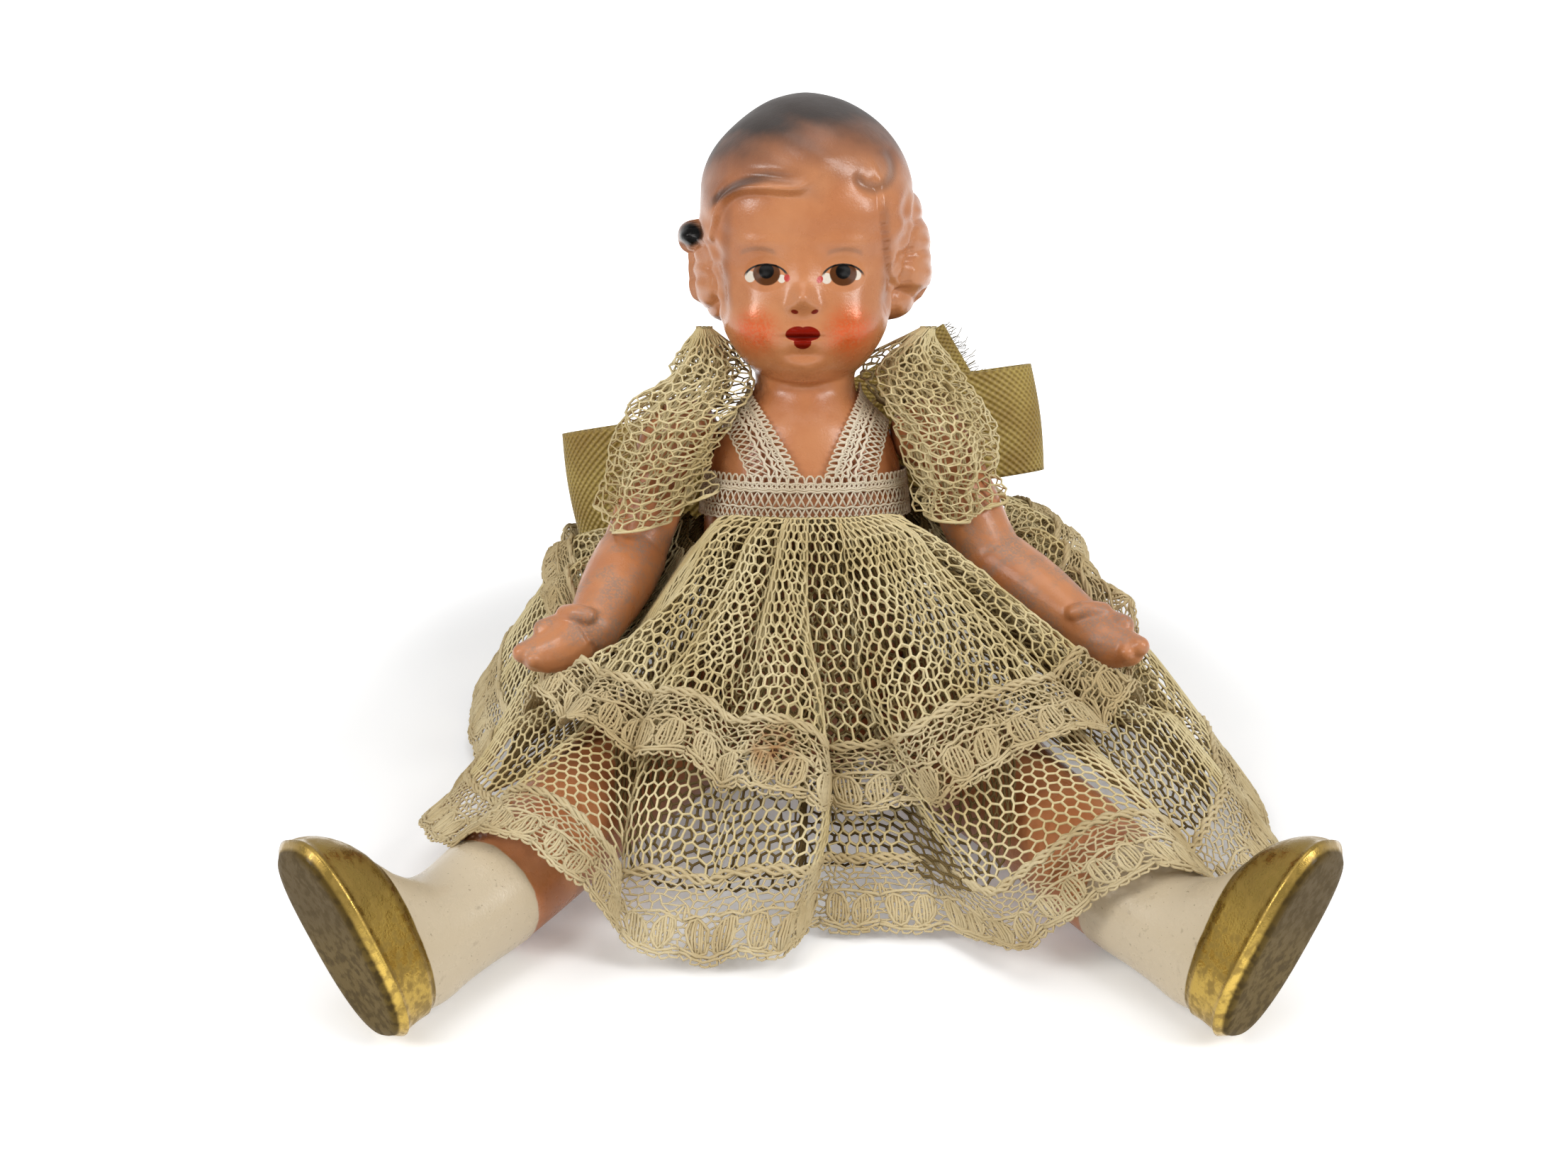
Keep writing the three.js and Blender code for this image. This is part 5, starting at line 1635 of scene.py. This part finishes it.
    def tier(
        self, start: float, end: float, lift: float, sags: Flat = (0, 0),
        flare: float = 0, folds: float = 1, gather: float = 1, bare: float = 0,
    ) -> Surface:
        """One tier's surface: round by u in equal lengths of cloth, down by v.

        Args:
            start: share of the way down at its upper edge.
            end: share of the way down at its lower edge.
            lift: height above the underskirt's lower face.
            sags: shares of the sag in front that its upper and lower edges have.
            flare: how much farther out its lower edge stands.
            folds: share of the gathers' full height.
            gather: power of the rows' spacing; over 1 they lie closer at its upper edge.
            bare: how much shorter it is over the legs.

        Returns:
            The surface.
        """

        def hang(angle: Array, v: Array) -> Array:
            """A place on the tier by its direction."""
            broad = (0.5 + 0.5 * np.cos(angle)) ** 6
            narrow = (0.5 + 0.5 * np.cos(angle - 0.09)) ** 60
            sag = self.front_sag[0] * broad + self.front_sag[1] * narrow
            legs = bell(np.abs(half_turn(angle)) - self.leg_aim[0], self.leg_aim[1])
            high, low = start + sags[0] * sag, end + sags[1] * sag - bare * legs
            return self.drape(angle, high + (low - high) * v**gather, lift, flare, folds)

        guide = np.linspace(0, math.tau, 6001)
        steps = np.linalg.norm(np.diff(hang(guide, np.full_like(guide, 0.75)), axis=0), axis=1)
        run = np.concatenate(([0.0], np.cumsum(steps))) / steps.sum()
        return lambda u, v: hang(np.interp(u, run, guide), v)

    def cells(self, surface: Surface) -> tuple[int, int]:
        """How many net cells fit round a tier and down it."""
        round_it = surface(np.linspace(0, 1, 4000), np.full(4000, 0.75))
        down = [surface(np.full(60, u), np.linspace(0, 1, 60)) for u in np.linspace(0, 0.9, 10)]
        lengths = [np.linalg.norm(np.diff(path, axis=0), axis=1).sum() for path in [round_it, *down]]
        LOG.info("tier: %.0f mm round, %.1f mm down", lengths[0], np.mean(lengths[1:]))
        return round(lengths[0] / self.cell), round(float(np.mean(lengths[1:])) / (self.cell * 0.866))

    def build(self) -> None:
        """Makes both tiers with their lace, and dresses them."""
        thread = NET_THREAD.material()
        under = self.tier(0.0, self.net_end, NET / 2, gather=0.8)
        inner = self.tier(0.0, self.net_end, -NET, folds=0.2, gather=0.8, bare=0.3)
        self.net("underskirt", under, inner, thread, (0.39, 0.0515), 1.15)
        lift = self.over_raise + NET / 2
        over = self.tier(0.0, self.over_end, lift, (0, 1), self.flare, gather=1.25)
        inner = self.tier(0.0, self.over_end, lift - NET, (0, 1), self.flare, folds=0.2, gather=1.25)
        self.net("overskirt", over, inner, thread, (0.375, 0.033))
        below = self.tier(self.net_end, 1.0, LACE / 2)
        lift = self.over_raise + LACE / 2
        ruffle = self.tier(self.over_end, self.over_lace_end, lift, (1, 1), self.flare)
        lace = LACE_THREAD.material()
        for node, surface, band, flat in (
            ("underskirt", below, LaceBand(repeats=56, ground=(320, 11)), (0.44, 0.014)),
            ("overskirt", ruffle, LaceBand(repeats=44, ground=(280, 11)), (0.4, 0.012)),
        ):
            hem = band.build(f"{node}_lace_hem", surface)
            settle(hem, lace, "torso", Slot.LACE, f"{node}_lace")

    def net(
        self, node: str, surface: Surface, inner: Surface, thread: Material,
        flat: Flat, close: float = 1,
    ) -> None:
        """One tier's net, hung and dressed.

        Args:
            node: the tier's CAD node.
            surface: where it hangs.
            inner: where the folds that are gathered inside it hang, in thread painted darker as painted
                shade.
            thread: its finish.
            flat: its flat size in metres, not used.
            close: how much closer its columns lie than its rows.
        """
        columns, rows = self.cells(surface)
        columns, rows = round(columns * close), round(rows / close)
        piece = hex_net(f"{node}_net", surface, columns, rows, self.thread, wrap=True)
        settle(piece, thread, "torso", Slot.NET, node)
        # The folds gathered inside take the darker thread: painted shade inside the skirt.
        gathers = hex_net(f"{node}_gathers", inner, *self.cells(inner), self.thread * 1.1, wrap=True)
        settle(gathers, SHADED_INNER_THREAD.material(), "torso", Slot.NET)
        flat[0] * flat[1] * self.cover


@dataclass
class LaceBand:
    """A scalloped lace edging: corded heading, net ground, paired leaves, an arch and a looped rim."""

    repeats: int
    ground: tuple[int, int]
    # Sizes and levels are shares of the lace's width or of a repeat, and threads are millimetres
    leaf_size: float = 0.19
    leaf_level: float = 0.69
    leaf_lines: Row = (-0.72, -0.43, -0.15, 0.15, 0.43, 0.72)
    leaf_threads: Flat = (0.23, 0.2)
    # Cords that arch over a repeat: level at its ends, rise in its middle, thread
    arches: tuple[Place, ...] = ((0.83, 0.08, 0.24), (0.88, 0.07, 0.22), (0.52, -0.07, 0.24))
    rim_loops: int = 6
    rim_thread: float = 0.17
    bars: Place = (-0.13, 0.0, 0.13)
    bar_thread: float = 0.2
    # Twisted cords of the heading: level, phase, thread
    heading: tuple[Place, ...] = ((0.03, 0.0, 0.32), (0.055, 2.1, 0.3), (0.08, 4.2, 0.28))
    ground_thread: float = 0.36
    stray: float = 0.01

    def leaf(self, middle: float, lean: float) -> list[tuple[Array, float]]:
        """One leaf: a round outline filled with close upright threads."""
        size, level = self.leaf_size, self.leaf_level
        around = np.linspace(0, math.tau, 11)
        across, up = np.cos(around), np.sin(around)
        rim, fill = self.leaf_threads
        paths = [(np.stack((middle + size * across, level + size * up + lean * across), -1), rim)]
        for share in self.leaf_lines:
            tall = size * math.sqrt(1 - share**2)
            across = share * np.array((0.9, 1.06, 1.06, 0.9))
            up = tall * np.array((-1, -1 / 3, 1 / 3, 1))
            paths.append((np.stack((middle + size * across, level + up + lean * share), -1), fill))
        return paths

    def motif(self) -> list[tuple[Array, float]]:
        """The threads of one scallop, in shares along the edging and across it."""
        s = np.linspace(0, 1, 11)
        bow = np.sin(math.pi * s)
        paths = [(np.stack((s, level + rise * bow), -1), thread) for level, rise, thread in self.arches]
        paths += self.leaf(0.28, 0.06) + self.leaf(0.72, -0.06)
        a = np.linspace(0, math.pi, 5)
        for k in range(self.rim_loops):
            at = (k + 0.5) / self.rim_loops
            rim = 0.89 + 0.07 * math.sin(math.pi * at)
            loop = np.stack((at + 0.08 * np.cos(a), rim + 0.05 * np.sin(a)), -1)
            paths.append((loop, self.rim_thread))
        for end in self.bars:
            paths.append((np.array(((end * 0.3, 0.36), (end, 0.53))), self.bar_thread))
        return paths

    def build(self, name: str, surface: Surface) -> Piece:
        """The edging laid on a surface that runs round by u and from heading to rim by v."""
        rng = np.random.default_rng(5)

        def inset(u: Array, v: Array) -> Array:
            """The surface between heading and rim."""
            return surface(u, 0.04 + 0.86 * v)

        ground = hex_net("ground", inset, *self.ground, self.ground_thread, wrap=True, loose=0.17)
        yarns = []
        for k in range(self.repeats):
            for path, radius in self.motif():
                path = path + rng.normal(0, self.stray, path.shape)
                points = surface((k + path[:, 0]) / self.repeats % 1, np.clip(path[:, 1], 0, 1))
                points[:, 2] += rng.uniform(0, 0.3)
                yarns.append(Yarn(points, radius))
        u = np.linspace(0, 1, self.repeats * 14, endpoint=False)
        twist = math.tau * self.repeats * 2.5 * u
        for level, phase, radius in self.heading:
            points = surface(u, np.clip(level + 0.02 * np.sin(twist + phase), 0, 1))
            points[:, 2] += 0.3 + 0.3 * np.cos(twist + phase)
            yarns.append(Yarn(points, radius, ring=True))
        return join(name, [ground, threads("motifs", yarns)])


@dataclass(frozen=True)
class NarrowLace:
    """A narrow lace of cords, lattices and edge loops, with levels in shares across it.

    Attributes:
        ends: shares along the lace where its cords begin and end.
        points: points along a cord.
        wobble: how far a cord strays, and how fast.
        cords: level and thread radius of each cord.
        rows: two levels, the runs between them and the crossing threads of each lattice.
        loops: how many edge loops there are, their level and how far they stand out.
        flat: flat size in metres, not used.
        wide: true width of the lace in metres, not used.
    """

    ends: Flat
    points: int
    wobble: Flat
    cords: tuple[Flat, ...]
    rows: tuple[tuple[float, float, int, int], ...]
    loops: tuple[int, float, float]
    flat: Flat
    wide: float

    def yarns(self, surface: Surface) -> list[Yarn]:
        """All threads, on a surface that runs along the lace by u and across it by v."""
        along = np.linspace(*self.ends, self.points)
        sway = self.wobble[0] * np.sin(self.wobble[1] * along)
        yarns = [Yarn(surface(along, level + sway), radius) for level, radius in self.cords]
        for low, high, runs, count in self.rows:
            along = np.linspace(0.003, 0.997, runs * 8 + 1)
            for k in range(count):
                phase = (along * runs + k / count) % 1
                yarns.append(Yarn(surface(along, low + (high - low) * np.abs(2 * phase - 1)), 0.16))
        count, edge, out = self.loops
        a = np.linspace(-0.6, math.pi + 0.6, 8)
        for k in range(count):
            along = (k + 0.5 + 0.42 * np.cos(a)) / count
            yarns.append(Yarn(surface(along, edge + out * (np.sin(a) + 0.2)), 0.18))
        return yarns


BAND_LACE = NarrowLace(
    ends=(0.002, 0.998), points=300, wobble=(0.015, 300),
    cords=((0.04, 0.22), (0.35, 0.2), (0.74, 0.2), (0.8, 0.2), (0.94, 0.18)),
    rows=((0.05, 0.34, 48, 2), (0.36, 0.74, 40, 2), (0.8, 0.94, 62, 2)),
    loops=(72, 0.95, 0.15), flat=(0.088, 0.01), wide=0.0068,
)
STRAP_LACE = NarrowLace(
    ends=(0, 1), points=140, wobble=(0.02, 150),
    cords=((0.06, 0.22), (0.2, 0.18), (0.33, 0.26), (0.5, 0.26), (0.96, 0.18)),
    rows=((0.06, 0.2, 40, 1), (0.2, 0.33, 22, 1), (0.33, 0.5, 15, 1), (0.5, 0.96, 11, 3)),
    loops=(40, 0.05, -0.17), flat=(0.036, 0.01), wide=0.007,
)


@dataclass
class Bodice:
    """The lace waistband and the two lace straps."""

    body: HeadAndBody
    low: float = 38.5
    high: float = 44.4
    opening: float = math.radians(5)
    in_front: float = 2.6
    out_front: float = 9.4
    in_top: float = 8.8
    out_top: float = 12.6
    aside: float = 1.1
    swing: float = math.radians(88)

    def band(self, u: Array, v: Array) -> Array:
        """The waistband: round by u from the back, up by v."""
        angle = math.pi + self.opening / 2 + (math.tau - self.opening) * u
        z = self.low + (self.high - self.low) * v
        wide, deep = self.body.laced(z)
        return POSTURE.lean(stack(wide * np.sin(angle), -deep * np.cos(angle), z))

    def strap(self, side: Side) -> Surface:
        """A strap: from front to back by u, across by v from its inner edge."""

        def place(u: Array, v: Array) -> Array:
            """A place on the strap, over the chest's skin."""
            aim = self.swing * (1 - 2 * u)
            up = np.cos(aim)
            inner = self.in_front + (self.in_top - self.in_front) * up**1.25
            outer = self.out_front + (self.out_top - self.out_front) * up
            x = side.value * (inner + (outer - inner) * v) + self.aside * (1 - up)
            near, far = np.zeros_like(x), np.full_like(x, 40.0)
            for _ in range(32):
                middle = (near + far) / 2
                y, z = -middle * np.sin(aim), self.high + middle * np.cos(aim)
                wide, deep = self.body.laced(z)
                inside = (x / wide) ** 2 + (y / deep) ** 2 < 1
                near, far = np.where(inside, middle, near), np.where(inside, far, middle)
            return POSTURE.lean(stack(x, -near * np.sin(aim), self.high + near * np.cos(aim)))

        return place

    def build(self) -> None:
        """Makes the waistband and straps, and dresses them."""
        material = BAND_THREAD.material()
        laces = [("lace_waistband", "waistband", self.band, BAND_LACE)]
        for side in Side:
            laces.append((f"{side.word}_lace_strap", f"{side.word}_strap", self.strap(side), STRAP_LACE))
        for name, node, surface, lace in laces:
            obj = threads(name, lace.yarns(surface))
            settle(obj, material, "torso", Slot.LACE, node)


# Studio

WHITE = (1, 1, 1, 1)


@dataclass
class Studio:
    """Pale floor, soft light and the camera."""

    target: Place = (-3.12, 0, 28.59)
    distance: float = 261.7
    elevation: float = math.radians(23.67)
    # Focal length over the photo's width, both in its pixels, and the width of a film frame
    focal: float = 2472 / 2212
    film: float = 36
    # The place that the lamps look at, and the distances over which the floor turns white
    aim: Place = (0, 0, 45)
    glow_from: Flat = (70, 130)
    # Each lamp's name, place and size in millimetres, and power in watts
    lamps: tuple[tuple[str, Place, float, float], ...] = (
        ("left_window", (-300, -330, 420), 190, 0.75), ("right_window", (320, -300, 400), 170, 0.82),
        ("top_light", (0, -60, 620), 400, 0.95), ("left_side", (-420, -240, 270), 125, 0.85),
        ("right_side", (420, -230, 260), 125, 0.8),
    )

    def build(self) -> None:
        """Sets the floor, lights, world and camera."""
        scene = bpy.context.scene
        scene.view_settings.view_transform = "Standard"
        self.floor()
        self.world(scene)
        for lamp in self.lamps:
            self.lamp(*lamp)
        camera = add_object("camera", bpy.data.cameras.new("camera"))
        camera.data.sensor_width = self.film
        camera.data.lens = self.film * self.focal
        camera.data.clip_start = 0.01
        target = Vector(self.target) * MM
        away = Vector((0, -math.cos(self.elevation), math.sin(self.elevation)))
        camera.location = target + away * self.distance * MM
        camera.rotation_euler = away.to_track_quat("Z", "Y").to_euler()
        scene.camera = camera

    def lamp(self, name: str, at: Sequence[float], size: float, power: float) -> None:
        """One square soft light aimed at the doll."""
        data = bpy.data.lights.new(name, "AREA")
        data.energy = power
        data.size = size * MM
        obj = add_object(name, data)
        obj.location = Vector(at) * MM
        obj.rotation_euler = (obj.location - Vector(self.aim) * MM).to_track_quat("Z", "Y").to_euler()

    def world(self, scene: bpy.types.Scene) -> None:
        """A pale surround that is white where it is seen."""
        scene.world = bpy.data.worlds.new("surround")
        board = Board(scene.world, "Background")
        board.shader.inputs["Color"].default_value = WHITE
        board.feed(board.shader.inputs["Strength"], board.seen() * 0.8 + 0.2)

    def floor(self) -> None:
        """A wide pale floor that keeps the shadow."""
        bpy.ops.object.select_all(action="DESELECT")
        bpy.ops.mesh.primitive_plane_add(size=30)
        obj = bpy.context.object
        obj.name = "floor"
        board = Board.named("pale_floor")
        x, y, _ = board.place()
        colour = board.mix(board.noise(0.02, 2), (0.95, 0.95, 0.95), (0.93, 0.93, 0.93))
        board.finish(colour, 0.9)
        away = board.math("SQRT", x * x + y * y).ramp(*self.glow_from)
        board.shader.inputs["Emission Color"].default_value = WHITE
        board.feed(board.shader.inputs["Emission Strength"], (away * 0.82 + 0.18) * board.seen())
        obj.data.materials.append(board.material)


def dress_stringing() -> None:
    """Gives the hidden hooks and elastics their finishes."""
    wire = PlainFinish("drawn_wire", srgb(168, 164, 158), srgb(120, 112, 104), 0.3, 1.0).material()
    rubber = PlainFinish("covered_elastic", srgb(206, 194, 170), srgb(176, 160, 130), 0.75, 0.0).material()
    for name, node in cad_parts.items():
        if name.endswith("_hook") or name.endswith("_elastic"):
            node.data.materials.clear()
            node.data.materials.append(wire if name.endswith("_hook") else rubber)
            LOG.info("%s: finish only", name)


def main() -> None:
    """Builds the doll's pieces in order."""
    logging.basicConfig(level=logging.INFO, format="%(message)s")
    Studio().build()
    body = HeadAndBody()
    body.build()
    arms = {side: ArmShape(side, *ARM_PLACES[side]) for side in Side}
    for arm in arms.values():
        arm.build()
    for side in Side:
        LegShape(side).build()
    bow, sleeves = Bow(body), Sleeves()
    bow.build()
    sleeves.build()
    Skirt(body, bow, sleeves, arms).build()
    Bodice(body).build()
    dress_stringing()
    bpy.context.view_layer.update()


if __name__ == "__main__":
    main()
